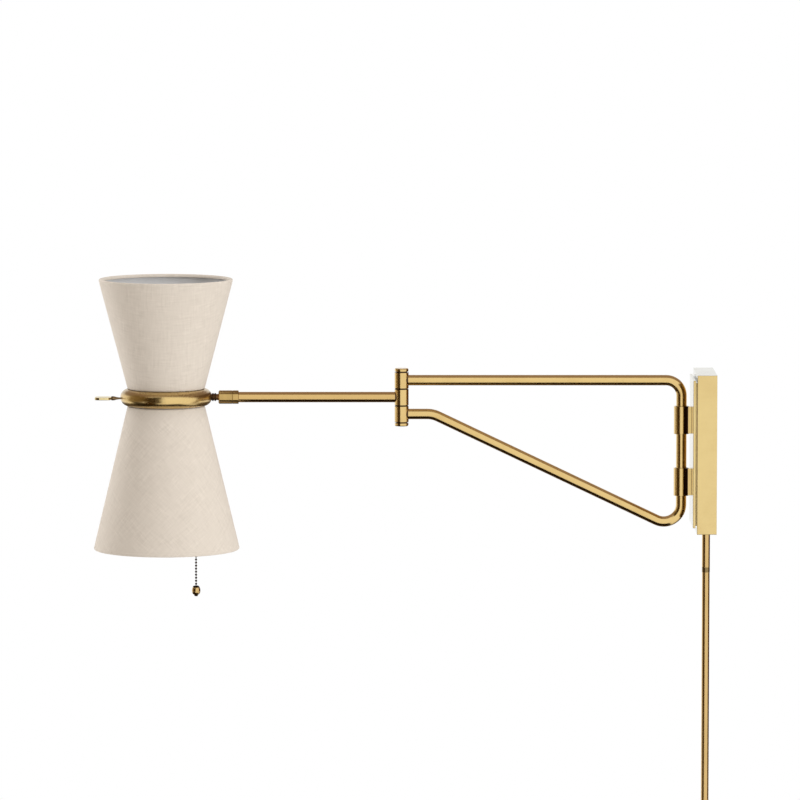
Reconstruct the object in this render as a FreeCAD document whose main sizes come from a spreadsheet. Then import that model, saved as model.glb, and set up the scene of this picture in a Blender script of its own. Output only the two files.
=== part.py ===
import FreeCAD, Part
import math
import os
import re
import Sketcher

# Swing arm wall lamp. The wall is the plane X = 0, the arm reaches along -X, +Z is up and the
# origin is the centre of the back of the wall bracket. All sizes are in millimetres.

SIZES = (
    # wall canopy and front plate
    ("canopy_width", 96.0),
    ("canopy_height", 170.0),
    ("canopy_depth", 21.0),
    ("canopy_wall", 1.5),
    ("canopy_edge", 0.5),
    ("plate_inset", 6.2),
    ("plate_thickness", 2.6),
    ("reveal_gap", 1.4),
    ("reveal_inset", 2.4),
    # wall bracket
    ("bracket_thickness", 2.0),
    ("bracket_width", 64.0),
    ("ear_depth", 14.0),
    ("ear_width", 14.0),
    ("ear_spacing", 46.0),
    ("top_ear_width", 36.0),
    ("wall_hole_spacing", 88.9),
    ("wall_hole_diameter", 5.2),
    ("canopy_screw_diameter", 3.8),
    ("canopy_screw_head", 6.6),
    ("canopy_screw_head_height", 1.8),
    # pivot lugs
    ("pivot_reach", 35.8),
    ("lug_height", 29.7),
    ("lug_centre", 33.2),
    ("lug_width", 10.0),
    ("sleeve_diameter", 16.2),
    ("bush_wall", 0.9),
    ("running_clearance", 0.05),
    ("seat_clearance", 0.3),
    ("lug_screw_diameter", 3.0),
    ("lug_screw_head", 5.4),
    ("lug_screw_head_height", 2.2),
    ("lug_screw_spacing", 19.0),
    ("lug_screw_depth", 3.2),
    ("grub_diameter", 4.0),
    ("grub_groove_depth", 0.45),
    ("grub_groove_height", 4.8),
    # bent arm
    ("tube_diameter", 11.2),
    ("tube_wall", 1.2),
    ("arm_length", 299.5),
    ("top_bend", 16.5),
    ("low_bend", 18.5),
    ("brace_bend", 27.0),
    ("brace_run", 33.6),
    ("brace_drop", 87.1),
    ("window_angle", 260.0),
    ("window_height", 6.4),
    # elbow
    ("elbow_height", 57.7),
    ("barrel_diameter", 15.0),
    ("knuckle_height", 17.15),
    ("washer_thickness", 1.0),
    ("washer_inset", 0.7),
    ("pin_diameter", 9.5),
    ("pin_bore", 6.0),
    ("pin_reach", 5.0),
    ("cap_diameter", 14.6),
    ("cap_height", 3.4),
    ("cap_chamfer", 0.8),
    ("cap_groove", 0.9),
    ("cap_groove_depth", 1.4),
    ("cap_spigot", 4.0),
    # forearm and swivel
    ("forearm_length", 251.8),
    ("neck_gap", 6.9),
    ("collar_diameter", 14.4),
    ("collar_length", 14.9),
    ("collar_nut_length", 6.6),
    ("collar_chamfer", 0.9),
    ("collar_lip", 2.4),
    ("stem_diameter", 6.6),
    ("stem_bore", 5.0),
    ("stem_flange", 10.2),
    ("stem_flange_thickness", 2.0),
    ("friction_washer", 0.8),
    ("spring_washer", 1.4),
    ("neck_disc_diameter", 8.4),
    ("neck_disc_thickness", 1.6),
    ("neck_disc_gap", 0.9),
    # ring, handle and spider
    ("ring_diameter", 80.0),
    ("ring_tube", 18.2),
    ("ring_wall", 1.5),
    ("spider_thickness", 2.0),
    ("spider_arm_width", 8.0),
    ("hub_diameter", 26.0),
    ("nipple_diameter", 10.0),
    ("nipple_bore", 7.0),
    ("handle_gap", 9.6),
    ("handle_length", 17.7),
    ("handle_width", 18.0),
    ("handle_thickness", 2.8),
    ("handle_corner", 5.0),
    ("handle_edge", 0.8),
    ("handle_bead", 4.6),
    ("handle_stem", 2.0),
    ("handle_drop", 1.4),
    # shades
    ("upper_rim_diameter", 145.0),
    ("upper_rim_height", 126.9),
    ("upper_neck_outset", 1.25),
    ("lower_rim_diameter", 157.5),
    ("lower_rim_height", 163.7),
    ("lower_neck_outset", 1.3),
    ("neck_clearance", 0.2),
    ("cover_thickness", 0.8),
    ("liner_thickness", 0.6),
    ("shade_slack", 0.1),
    ("rim_wire", 2.4),
    ("hem_depth", 5.0),
    ("fitter_wire", 2.4),
    ("fitter_lift", 1.9),
    ("fitter_rise", 0.6),
    ("fitter_ring_width", 3.0),
    ("fitter_ring_height", 2.0),
    # lamp holders and bulbs
    ("holder_diameter", 34.4),
    ("holder_wall", 2.6),
    ("holder_height", 38.0),
    ("holder_floor", 9.0),
    ("holder_flange", 41.2),
    ("holder_cap_diameter", 24.0),
    ("shell_wall", 0.8),
    ("shell_gap", 0.2),
    ("shell_inset", 2.0),
    ("contact_diameter", 7.0),
    ("contact_height", 2.0),
    ("clamp_diameter", 42.0),
    ("clamp_height", 3.0),
    ("bulb_base_diameter", 26.2),
    ("bulb_base_length", 24.5),
    ("bulb_neck_diameter", 25.2),
    ("bulb_neck_rise", 5.0),
    ("globe_diameter", 52.0),
    ("glass_thickness", 0.8),
    # pull switch and chain
    ("pull_offset", 31.3),
    ("switch_drop", 1.0),
    ("switch_diameter", 12.0),
    ("switch_length", 36.5),
    ("nozzle_diameter", 6.8),
    ("nozzle_length", 8.0),
    ("nozzle_flare", 0.9),
    ("pull_rod_diameter", 2.8),
    ("pull_clearance", 0.1),
    ("coupling_diameter", 5.2),
    ("coupling_height", 5.5),
    ("coupling_slot", 2.0),
    ("coupling_pin", 1.4),
    ("eye_diameter", 3.0),
    ("eye_width", 1.7),
    ("bead_diameter", 2.4),
    ("bead_pitch", 3.28),
    ("bead_count", 49),
    ("chain_wire", 0.5),
    ("finial_diameter", 9.4),
    ("finial_height", 12.2),
    ("finial_foot", 4.0),
    ("finial_gap", 0.75),
    # wires
    ("wire_diameter", 4.4),
    ("wire_hole", 5.2),
    ("wire_bend", 5.0),
    ("canopy_wire_bend", 7.0),
    ("head_wire_drop", 4.0),
    ("block_height", 14.0),
    ("block_width", 28.0),
    ("block_depth", 12.0),
    ("block_rise", 19.0),
    # cord cover
    ("cover_setback", 8.9),
    ("stub_diameter", 8.6),
    ("stub_bore", 6.4),
    ("stub_length", 40.6),
    ("stub_thread", 7.8),
    ("stub_nut_width", 13.0),
    ("stub_nut_height", 4.0),
    ("ferrule_height", 5.2),
    ("ferrule_spigot", 8.0),
    ("cord_bore", 5.0),
    ("cover_tube_diameter", 8.2),
    ("cover_tube_bore", 6.4),
    ("cover_tube_length", 304.8),
    ("bush_flange_height", 1.6),
)

DOC = FreeCAD.newDocument("swing_arm_wall_lamp")
SHEET = DOC.addObject("Spreadsheet::Sheet", "Sizes")
for row, (alias, size) in enumerate(SIZES, 1):
    SHEET.set(f"A{row}", alias.replace("_", " "))
    SHEET.set(f"B{row}", str(size))
    SHEET.setAlias(f"B{row}", alias)
DOC.recompute()

ALIASES = {alias for alias, size in SIZES}
NODES = []

# positions that several pieces share, as formulas of the sheet
PLATE_FRONT = "(canopy_depth + reveal_gap + plate_thickness)"
PIVOT_X = "(-pivot_reach)"
ELBOW_X = "(-pivot_reach - arm_length)"
HEAD_X = "(-pivot_reach - arm_length - forearm_length)"
KNUCKLE_STEP = "(knuckle_height + washer_thickness)"
UPPER_Z = f"(elbow_height + {KNUCKLE_STEP})"
LOWER_Z = f"(elbow_height - {KNUCKLE_STEP})"
WIRE_MEET_Z = "(-lug_centre + wire_bend + 2)"
RING_OUT = "(ring_diameter / 2 + ring_tube / 2)"
COLLAR_START = f"({RING_OUT} + neck_gap)"
FLANGE_START = f"({COLLAR_START} + collar_lip + friction_washer)"
FLANGE_END = f"({FLANGE_START} + stem_flange_thickness)"
FOREARM_END = f"({FLANGE_END} + spring_washer + 2 * running_clearance)"
RING_IN = "(ring_diameter / 2 - ring_tube / 2)"
FITTER_LEVEL = "(ring_tube / 2 + fitter_lift)"
CLAMP_SEAT = f"({FITTER_LEVEL} + fitter_ring_height / 2)"
SWITCH_LEVEL = f"({CLAMP_SEAT} + clamp_height + switch_drop + switch_diameter / 2)"
HUB_TOP = "(spider_thickness / 2)"
HOLDER_ENTRY = "(holder_cap_diameter / 2 - 2)"
BLOCK_TOP = "(-canopy_height / 2 + block_rise + block_height)"

UP = FreeCAD.Rotation()
FLIPPED = FreeCAD.Rotation(FreeCAD.Vector(1, 0, 0), 180)
ALONG_X = FreeCAD.Rotation(FreeCAD.Vector(0, 1, 0), 90)
ALONG_MINUS_X = FreeCAD.Rotation(FreeCAD.Vector(0, 1, 0), -90)
ALONG_Y = FreeCAD.Rotation(FreeCAD.Vector(1, 0, 0), -90)
ORIGIN = ("0", "0", "0")


def cells(formula):
    """Write a formula of size names as a document expression."""
    def name(match):
        word = match.group(0)
        return f"Sizes.{word}" if word in ALIASES else word
    return re.sub(r"[a-z_]+", name, formula)


def number(formula):
    """The present value of a formula."""
    return float(SHEET.evalExpression(cells(formula)))


def bind(thing, prop, formula):
    thing.setExpression(prop, cells(formula))


def place(thing, at=ORIGIN, turn=UP):
    """Turn a piece and bind its position to formulas."""
    thing.Placement = FreeCAD.Placement(FreeCAD.Vector(), turn)
    for axis, formula in zip("xyz", at):
        if formula != "0":
            bind(thing, f"Placement.Base.{axis}", formula)
    return thing


def add(kind, label):
    thing = DOC.addObject(kind, label)
    thing.Label = label
    return thing


def node(thing):
    """Mark a finished piece for export under its label."""
    DOC.recompute()
    NODES.append(thing)
    return thing


# Part primitives and booleans

def cylinder(label, diameter, height, at=ORIGIN, turn=UP):
    thing = add("Part::Cylinder", label)
    bind(thing, "Radius", f"({diameter}) / 2")
    bind(thing, "Height", height)
    return place(thing, at, turn)


def box(label, length, width, height, at):
    thing = add("Part::Box", label)
    bind(thing, "Length", length)
    bind(thing, "Width", width)
    bind(thing, "Height", height)
    return place(thing, at)


def sphere(label, diameter, at):
    thing = add("Part::Sphere", label)
    bind(thing, "Radius", f"({diameter}) / 2")
    return place(thing, at)


def torus(label, diameter, section, at=ORIGIN, turn=UP):
    thing = add("Part::Torus", label)
    bind(thing, "Radius1", f"({diameter}) / 2")
    bind(thing, "Radius2", f"({section}) / 2")
    return place(thing, at, turn)


def fuse(label, shapes):
    thing = add("Part::MultiFuse", label)
    thing.Shapes = shapes
    thing.Refine = True
    return thing


def cut(label, base, tools):
    tool = tools[0] if len(tools) == 1 else fuse(label + "_tools", tools)
    thing = add("Part::Cut", label)
    thing.Base = base
    thing.Tool = tool
    return thing


def group(label, shapes):
    thing = add("Part::Compound", label)
    thing.Links = shapes
    return thing


# PartDesign bodies and sketches

def new_body(label, at=ORIGIN, turn=UP):
    return place(add("PartDesign::Body", label), at, turn)


def new_sketch(body, role, offset="0"):
    sketch = body.newObject("Sketcher::SketchObject", body.Name + "_sketch")
    plane = next(f for f in body.Origin.OriginFeatures if f.Role == role)
    sketch.AttachmentSupport = [(plane, "")]
    sketch.MapMode = "FlatFace"
    if offset != "0":
        bind(sketch, "AttachmentOffset.Base.z", offset)
    return sketch


def measure(sketch, kind, formula, *ends):
    """Add a dimension and bind it to a formula."""
    index = sketch.addConstraint(Sketcher.Constraint(kind, *ends, number(formula)))
    bind(sketch, f"Constraints[{index}]", formula)


def pin(sketch, geometry, vertex, x, y):
    """Hold one sketch point at a pair of formulas."""
    if x == "0":
        sketch.addConstraint(Sketcher.Constraint("PointOnObject", geometry, vertex, -2))
    else:
        measure(sketch, "DistanceX", x, -1, 1, geometry, vertex)
    if y == "0":
        sketch.addConstraint(Sketcher.Constraint("PointOnObject", geometry, vertex, -1))
    else:
        measure(sketch, "DistanceY", y, -1, 1, geometry, vertex)


def polygon(sketch, points):
    """A closed outline of straight lines through pairs of formulas."""
    count = len(points)
    spots = [FreeCAD.Vector(number(x), number(y), 0) for x, y in points]
    first = sketch.GeometryCount
    for i in range(count):
        sketch.addGeometry(Part.LineSegment(spots[i], spots[(i + 1) % count]), False)
    for i in range(count):
        following = first + (i + 1) % count
        sketch.addConstraint(Sketcher.Constraint("Coincident", first + i, 2, following, 1))
    for i, (x, y) in enumerate(points):
        pin(sketch, first + i, 1, x, y)


def rectangle(sketch, left, right, bottom, top):
    polygon(sketch, [(left, bottom), (right, bottom), (right, top), (left, top)])


def circle(sketch, x, y, diameter):
    centre = FreeCAD.Vector(number(x), number(y), 0)
    ring = Part.Circle(centre, FreeCAD.Vector(0, 0, 1), number(diameter) / 2)
    geometry = sketch.addGeometry(ring, False)
    pin(sketch, geometry, 3, x, y)
    measure(sketch, "Diameter", diameter, geometry)


def pad(body, sketch, length, flip=False, both=False):
    feature = body.newObject("PartDesign::Pad", body.Name + "_pad")
    feature.Profile = sketch
    bind(feature, "Length", length)
    feature.Reversed = flip
    if both:
        feature.SideType = "Symmetric"
    return feature


def pocket(body, sketch, length, flip=False, both=False):
    feature = body.newObject("PartDesign::Pocket", body.Name + "_pocket")
    feature.Profile = sketch
    bind(feature, "Length", length)
    feature.Reversed = flip
    if both:
        feature.SideType = "Symmetric"
    return feature


def turned(label, points, at=ORIGIN, turn=UP):
    """A body turned about its own Z axis from an outline of (radius, height) formulas."""
    body = new_body(label, at, turn)
    sketch = new_sketch(body, "XZ_Plane")
    polygon(sketch, points)
    feature = body.newObject("PartDesign::Revolution", label + "_turned")
    feature.Profile = sketch
    feature.ReferenceAxis = (sketch, ["V_Axis"])
    feature.Angle = 360
    return body


def sleeve(label, outer, inner, length, at=ORIGIN, turn=UP):
    """A plain tube or washer along its own Z axis."""
    body = new_body(label, at, turn)
    sketch = new_sketch(body, "XY_Plane")
    circle(sketch, "0", "0", outer)
    circle(sketch, "0", "0", inner)
    pad(body, sketch, length)
    return body


def groove(body, points, angle=None):
    """Cut a turned groove; with an angle, only that far round, centred on the body's +X side."""
    sketch = new_sketch(body, "XZ_Plane")
    polygon(sketch, points)
    feature = body.newObject("PartDesign::Groove", body.Name + "_groove")
    feature.Profile = sketch
    feature.ReferenceAxis = (sketch, ["V_Axis"])
    if angle is None:
        feature.Angle = 360
    else:
        feature.Midplane = True
        bind(feature, "Angle", angle)
    return feature


def radial_hole(body, diameter, height, length, flip=False):
    """Drill from the body's axis along its +X side, or its -X side when flipped."""
    sketch = new_sketch(body, "YZ_Plane")
    circle(sketch, "0", height, diameter)
    return pocket(body, sketch, length, flip=not flip)


def rounded(body, feature, radius, test):
    """Round the edges of a feature that pass a test."""
    DOC.recompute()
    edges = enumerate(feature.Shape.Edges, 1)
    names = [f"Edge{i}" for i, edge in edges if test(edge)]
    result = body.newObject("PartDesign::Fillet", body.Name + "_round")
    result.Base = (feature, names)
    bind(result, "Radius", radius)
    return result


def bent_path(sketch, corners, bends):
    """An open run of straight lines joined by tangent arcs, from corner formulas and bend radii."""
    spots = [FreeCAD.Vector(number(x), number(y), 0) for x, y in corners]
    starts, ends, arcs = [spots[0]], [], []
    for i, bend in enumerate(bends, 1):
        before = (spots[i] - spots[i - 1]).normalize()
        after = (spots[i + 1] - spots[i]).normalize()
        radius = number(bend)
        left = before.cross(after).z > 0
        reach = radius * math.tan(before.getAngle(after) / 2)
        begin = spots[i] - before * reach
        finish = spots[i] + after * reach
        side = FreeCAD.Vector(-before.y, before.x, 0) * (1 if left else -1)
        centre = begin + side * radius
        low, high = (begin, finish) if left else (finish, begin)
        angles = [math.atan2(p.y - centre.y, p.x - centre.x) for p in (low, high)]
        ring = Part.Circle(centre, FreeCAD.Vector(0, 0, 1), radius)
        arcs.append((Part.ArcOfCircle(ring, *angles), left))
        ends.append(begin)
        starts.append(finish)
    ends.append(spots[-1])
    lines = [sketch.addGeometry(Part.LineSegment(a, b), False) for a, b in zip(starts, ends)]
    pin(sketch, lines[0], 1, *corners[0])
    pin(sketch, lines[-1], 2, *corners[-1])
    for i, (arc, left) in enumerate(arcs):
        bow = sketch.addGeometry(arc, False)
        corner = sketch.addGeometry(Part.Point(spots[i + 1]), True)
        pin(sketch, corner, 1, *corners[i + 1])
        for line in lines[i:i + 2]:
            sketch.addConstraint(Sketcher.Constraint("PointOnObject", corner, 1, line))
        first, last = (1, 2) if left else (2, 1)
        sketch.addConstraint(Sketcher.Constraint("Tangent", lines[i], 2, bow, first))
        sketch.addConstraint(Sketcher.Constraint("Tangent", bow, last, lines[i + 1], 1))
        measure(sketch, "Radius", bends[i], bow)


def bent_rod(label, corners, bends, diameters, upright=False, at=ORIGIN):
    """A rod swept along a bent path in the XZ plane; a second diameter makes it a tube."""
    body = new_body(label, at)
    path = new_sketch(body, "XZ_Plane")
    bent_path(path, corners, bends)
    kinds = ("PartDesign::AdditivePipe", "PartDesign::SubtractivePipe")
    x, z = corners[0]
    for kind, diameter in zip(kinds, diameters):
        profile = new_sketch(body, "XY_Plane" if upright else "YZ_Plane", z if upright else x)
        if upright:
            circle(profile, x, "0", diameter)
        else:
            circle(profile, "0", z, diameter)
        feature = body.newObject(kind, label + "_swept")
        feature.Profile = profile
        feature.Spine = (path, [])
    return body


def drill(body, diameter, length, at, turn):
    """Remove a cylinder from a body, placed in the body's own frame."""
    tool = body.newObject("PartDesign::SubtractiveCylinder", body.Name + "_drill")
    bind(tool, "Radius", f"({diameter}) / 2")
    bind(tool, "Height", length)
    tool.AttachmentOffset = FreeCAD.Placement(FreeCAD.Vector(), turn)
    for axis, formula in zip("xyz", at):
        if formula != "0":
            bind(tool, f"AttachmentOffset.Base.{axis}", formula)
    tool.AttachmentSupport = [(next(f for f in body.Origin.OriginFeatures if f.Role == "XY_Plane"), "")]
    tool.MapMode = "FlatFace"
    return tool


def on_plane(edge, axis, value):
    """True when the whole edge lies on one coordinate plane."""
    extent = edge.BoundBox
    low, high = getattr(extent, axis + "Min"), getattr(extent, axis + "Max")
    return abs(low - value) < 0.001 and abs(high - value) < 0.001


# wall bracket: flat steel plate with a top ear and two bottom ears bent forward

def make_bracket():
    body = new_body("wall_bracket")
    half = "(canopy_height / 2 - canopy_wall)"
    outline = new_sketch(body, "YZ_Plane")
    rectangle(outline, "-bracket_width / 2", "bracket_width / 2", f"-{half}", half)
    pad(body, outline, "bracket_thickness", flip=True)
    ear = new_sketch(body, "XZ_Plane")
    rectangle(ear, "-ear_depth", "-bracket_thickness / 2", f"{half} - bracket_thickness", half)
    pad(body, ear, "top_ear_width", both=True)
    for side in ("", "-"):
        ear = new_sketch(body, "XZ_Plane", f"{side}ear_spacing / 2")
        rectangle(ear, "-ear_depth", "-bracket_thickness / 2", f"-{half}", f"bracket_thickness - {half}")
        pad(body, ear, "ear_width", both=True)
    holes = new_sketch(body, "YZ_Plane")
    for side in ("", "-"):
        circle(holes, "0", f"{side}wall_hole_spacing / 2", "wall_hole_diameter")
    pocket(body, holes, "bracket_thickness * 2", both=True)
    taps = new_sketch(body, "XY_Plane", f"-{half}")
    for side in ("", "-"):
        circle(taps, "-ear_depth / 2", f"{side}ear_spacing / 2",
               "canopy_screw_diameter + 2 * running_clearance")
    pocket(body, taps, "bracket_thickness * 3", both=True)
    node(body)


def make_canopy():
    body = new_body("wall_canopy")
    outline = new_sketch(body, "YZ_Plane")
    rectangle(outline, "-canopy_width / 2", "canopy_width / 2", "-canopy_height / 2", "canopy_height / 2")
    block = pad(body, outline, "canopy_depth", flip=True)
    rounded(body, block, "canopy_edge", lambda e: not on_plane(e, "X", 0))
    hollow = new_sketch(body, "YZ_Plane")
    width = "(canopy_width / 2 - canopy_wall)"
    height = "(canopy_height / 2 - canopy_wall)"
    rectangle(hollow, f"-{width}", width, f"-{height}", height)
    pocket(body, hollow, "canopy_depth - canopy_wall")
    front_holes(body, "canopy_depth - canopy_wall * 2", "canopy_wall * 4")
    below = new_sketch(body, "XY_Plane", "-canopy_height / 2")
    circle(below, "-cover_setback", "0", "stub_thread + 2 * running_clearance")
    for side in ("", "-"):
        circle(below, "-ear_depth / 2", f"{side}ear_spacing / 2",
               "canopy_screw_diameter + 4 * running_clearance")
    pocket(body, below, "canopy_wall * 3", both=True)
    node(body)


def front_holes(body, start, length):
    """Screw holes for both lugs and the wire hole behind the lower one."""
    holes = new_sketch(body, "YZ_Plane", f"-({start})")
    for lug in ("lug_centre", "-lug_centre"):
        for side in ("+", "-"):
            circle(holes, "0", f"{lug} {side} lug_screw_spacing / 2",
                   "lug_screw_diameter + 4 * running_clearance")
    circle(holes, "0", "-lug_centre", "wire_hole")
    pocket(body, holes, length)


def make_front_plate():
    body = new_body("front_plate")
    width = "(canopy_width / 2 - plate_inset)"
    height = "(canopy_height / 2 - plate_inset)"
    face = new_sketch(body, "YZ_Plane", "-canopy_depth - reveal_gap")
    rectangle(face, f"-{width}", width, f"-{height}", height)
    front = pad(body, face, "plate_thickness", flip=True)
    back = -number("canopy_depth + reveal_gap")
    rounded(body, front, "canopy_edge", lambda e: not on_plane(e, "X", back))
    step = new_sketch(body, "YZ_Plane", "-canopy_depth")
    narrow = f"({width} - reveal_inset)"
    short = f"({height} - reveal_inset)"
    rectangle(step, f"-{narrow}", narrow, f"-{short}", short)
    pad(body, step, "reveal_gap", flip=True)
    front_holes(body, "canopy_depth", PLATE_FRONT)
    node(body)


def make_lug(label, centre, grub, wire):
    """A pivot lug: flat block on the plate and a round sleeve on the pivot axis."""
    body = new_body(label, (PIVOT_X, "0", f"{centre} - lug_height / 2"))
    reach = f"(pivot_reach - {PLATE_FRONT})"
    block = new_sketch(body, "XY_Plane", "canopy_edge")
    rectangle(block, "0", reach, "-lug_width / 2", "lug_width / 2")
    pad(body, block, "lug_height - 2 * canopy_edge")
    barrel = new_sketch(body, "XY_Plane")
    circle(barrel, "0", "0", "sleeve_diameter")
    pad(body, barrel, "lug_height")
    bore = new_sketch(body, "XY_Plane")
    circle(bore, "0", "0", "tube_diameter + 2 * running_clearance + 2 * bush_wall")
    pocket(body, bore, "lug_height", flip=True)
    taps = new_sketch(body, "YZ_Plane", reach)
    for side in ("+", "-"):
        circle(taps, "0", f"lug_height / 2 {side} lug_screw_spacing / 2",
               "lug_screw_diameter + 2 * running_clearance")
    pocket(body, taps, "lug_screw_depth + seat_clearance")
    if wire:
        radial_hole(body, "wire_hole", "lug_height / 2", "pivot_reach")
    if grub:
        drill(body, "grub_diameter + 2 * running_clearance", "sleeve_diameter",
              ("0", "0", "lug_height / 2"), ALONG_Y)
    node(body)


def make_bush(label, centre, grub, wire):
    """Plain bearing bush inside one lug."""
    body = sleeve(label, "tube_diameter + 2 * running_clearance + 2 * bush_wall",
                  "tube_diameter + 2 * running_clearance", "lug_height",
                  (PIVOT_X, "0", f"{centre} - lug_height / 2"))
    if wire:
        radial_hole(body, "wire_hole", "lug_height / 2", "tube_diameter")
    if grub:
        drill(body, "grub_diameter + 2 * running_clearance", "sleeve_diameter",
              ("0", "0", "lug_height / 2"), ALONG_Y)
    return body


def make_wall_screws():
    screws = []
    for lug, name in (("lug_centre", "upper"), ("-lug_centre", "lower")):
        for side in ("+", "-"):
            where = f"{lug} {side} lug_screw_spacing / 2"
            tag = f"lug_screw_{name}_{'high' if side == '+' else 'low'}"
            head = cylinder(tag + "_head", "lug_screw_head", "lug_screw_head_height",
                            ("-canopy_depth + canopy_wall", "0", where), ALONG_X)
            shank = cylinder(tag + "_shank", "lug_screw_diameter",
                             f"{PLATE_FRONT} - canopy_depth + canopy_wall + lug_screw_depth"
                             " + lug_screw_head_height / 2",
                             ("-canopy_depth + canopy_wall + lug_screw_head_height / 2", "0", where),
                             ALONG_MINUS_X)
            screws.append(fuse(tag, [head, shank]))
    node(group("lug_screws", screws))
    screws = []
    for side, name in (("", "far"), ("-", "near")):
        where = ("-ear_depth / 2", f"{side}ear_spacing / 2")
        head = cylinder(f"canopy_screw_{name}_head", "canopy_screw_head", "canopy_screw_head_height",
                        (*where, "-canopy_height / 2 - canopy_screw_head_height"))
        shank = cylinder(f"canopy_screw_{name}_shank", "canopy_screw_diameter",
                         "canopy_wall + bracket_thickness * 1.5 + canopy_screw_head_height / 2",
                         (*where, "-canopy_height / 2 - canopy_screw_head_height / 2"))
        screws.append(fuse(f"canopy_screw_{name}", [head, shank]))
    node(group("canopy_screws", screws))
    tip = "(tube_diameter / 2 - grub_groove_depth + 3 * running_clearance)"
    node(cylinder("pivot_grub_screw", "grub_diameter", f"sleeve_diameter / 2 - {tip}",
                  (PIVOT_X, tip, "lug_centre"), ALONG_Y))


def make_terminal_block():
    node(box("terminal_block", "block_depth", "block_width", "block_height",
             ("-bracket_thickness - block_depth", "-block_width / 2", f"{BLOCK_TOP} - block_height")))
    node(bent_rod("canopy_wire",
                  [("-bracket_thickness - block_depth * 0.6", BLOCK_TOP),
                   ("-bracket_thickness - block_depth * 0.6", "-lug_centre"),
                   (PIVOT_X, "-lug_centre"),
                   (PIVOT_X, WIRE_MEET_Z)],
                  ["canopy_wire_bend", "wire_bend"], ["wire_diameter"], upright=True))


def make_cord_cover():
    axis = ("-cover_setback", "0")
    bottom = "(-canopy_height / 2)"
    node(turned("cord_cover_stub",
                [("stub_bore / 2", "-stub_length"), ("stub_diameter / 2", "-stub_length"),
                 ("stub_diameter / 2", "0"), ("stub_thread / 2", "0"),
                 ("stub_thread / 2", "canopy_wall + stub_nut_height + 1"),
                 ("stub_bore / 2", "canopy_wall + stub_nut_height + 1")],
                (*axis, bottom)))
    nut = new_body("stub_nut", (*axis, f"{bottom} + canopy_wall"))
    outline = new_sketch(nut, "XY_Plane")
    half = "stub_nut_width / 2"
    corner = "stub_nut_width / sqrt(3)"
    polygon(outline, [("0", corner), (f"-{half}", f"{corner} / 2"), (f"-{half}", f"-{corner} / 2"),
                      ("0", f"-{corner}"), (half, f"-{corner} / 2"), (half, f"{corner} / 2")])
    circle(outline, "0", "0", "stub_thread + 2 * running_clearance")
    pad(nut, outline, "stub_nut_height")
    node(nut)
    joint = f"({bottom} - stub_length)"
    node(turned("cord_cover_ferrule",
                [("cord_bore / 2", "-ferrule_height - ferrule_spigot"),
                 ("cover_tube_bore / 2 - running_clearance", "-ferrule_height - ferrule_spigot"),
                 ("cover_tube_bore / 2 - running_clearance", "-ferrule_height"),
                 ("stub_diameter / 2", "-ferrule_height"), ("stub_diameter / 2", "0"),
                 ("stub_bore / 2 - running_clearance", "0"),
                 ("stub_bore / 2 - running_clearance", "ferrule_spigot"),
                 ("cord_bore / 2", "ferrule_spigot")],
                (*axis, joint)))
    node(sleeve("cord_cover_tube", "cover_tube_diameter", "cover_tube_bore", "cover_tube_length",
                (*axis, f"{joint} - ferrule_height - cover_tube_length")))
    node(turned("cord_bush",
                [("cord_bore / 2", "-bush_flange_height"),
                 ("cover_tube_diameter / 2", "-bush_flange_height"),
                 ("cover_tube_diameter / 2", "0"), ("cover_tube_bore / 2 - running_clearance", "0"),
                 ("cover_tube_bore / 2 - running_clearance", "ferrule_spigot"),
                 ("cord_bore / 2", "ferrule_spigot")],
                (*axis, f"{joint} - ferrule_height - cover_tube_length")))


# swing arm: one bent tube, two knuckles, pins, caps, washers and the wire inside

def make_arm_tube():
    """The bent tube in a frame on the pivot axis, so that its grooves can be turned there."""
    elbow = "(-arm_length)"
    body = bent_rod("arm_tube",
                    [(elbow, UPPER_Z), ("0", UPPER_Z), ("0", "-brace_drop"),
                     (f"{elbow} + brace_run", LOWER_Z), (elbow, LOWER_Z)],
                    ["top_bend", "low_bend", "brace_bend"],
                    ["tube_diameter", "tube_diameter - 2 * tube_wall"], at=(PIVOT_X, "0", "0"))
    drill(body, "barrel_diameter", "3 * knuckle_height + 2 * washer_thickness",
          (elbow, "0", "elbow_height - 1.5 * knuckle_height - washer_thickness"), UP)
    inner = "(tube_diameter / 2 - grub_groove_depth)"
    groove(body, [(inner, "lug_centre - grub_groove_height / 2"),
                  ("sleeve_diameter / 2", "lug_centre - grub_groove_height / 2"),
                  ("sleeve_diameter / 2", "lug_centre + grub_groove_height / 2"),
                  (inner, "lug_centre + grub_groove_height / 2")])
    inner = "(tube_diameter / 2 - tube_wall - 1)"
    groove(body, [(inner, "-lug_centre - window_height / 2"),
                  ("sleeve_diameter / 2", "-lug_centre - window_height / 2"),
                  ("sleeve_diameter / 2", "-lug_centre + window_height / 2"),
                  (inner, "-lug_centre + window_height / 2")], "window_angle")
    node(body)


def make_knuckle(label, step, hole):
    """One barrel of the elbow; a wire hole faces +X on the arm side and -X on the forearm side."""
    running = "pin_diameter + 2 * running_clearance"
    bore = "pin_diameter" if hole != "forearm" else running
    body = sleeve(label, "barrel_diameter", bore, "knuckle_height",
                  (ELBOW_X, "0", f"elbow_height {step} - knuckle_height / 2"))
    if hole:
        radial_hole(body, "wire_hole", "knuckle_height / 2", "barrel_diameter", flip=hole == "forearm")
    node(body)


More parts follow.
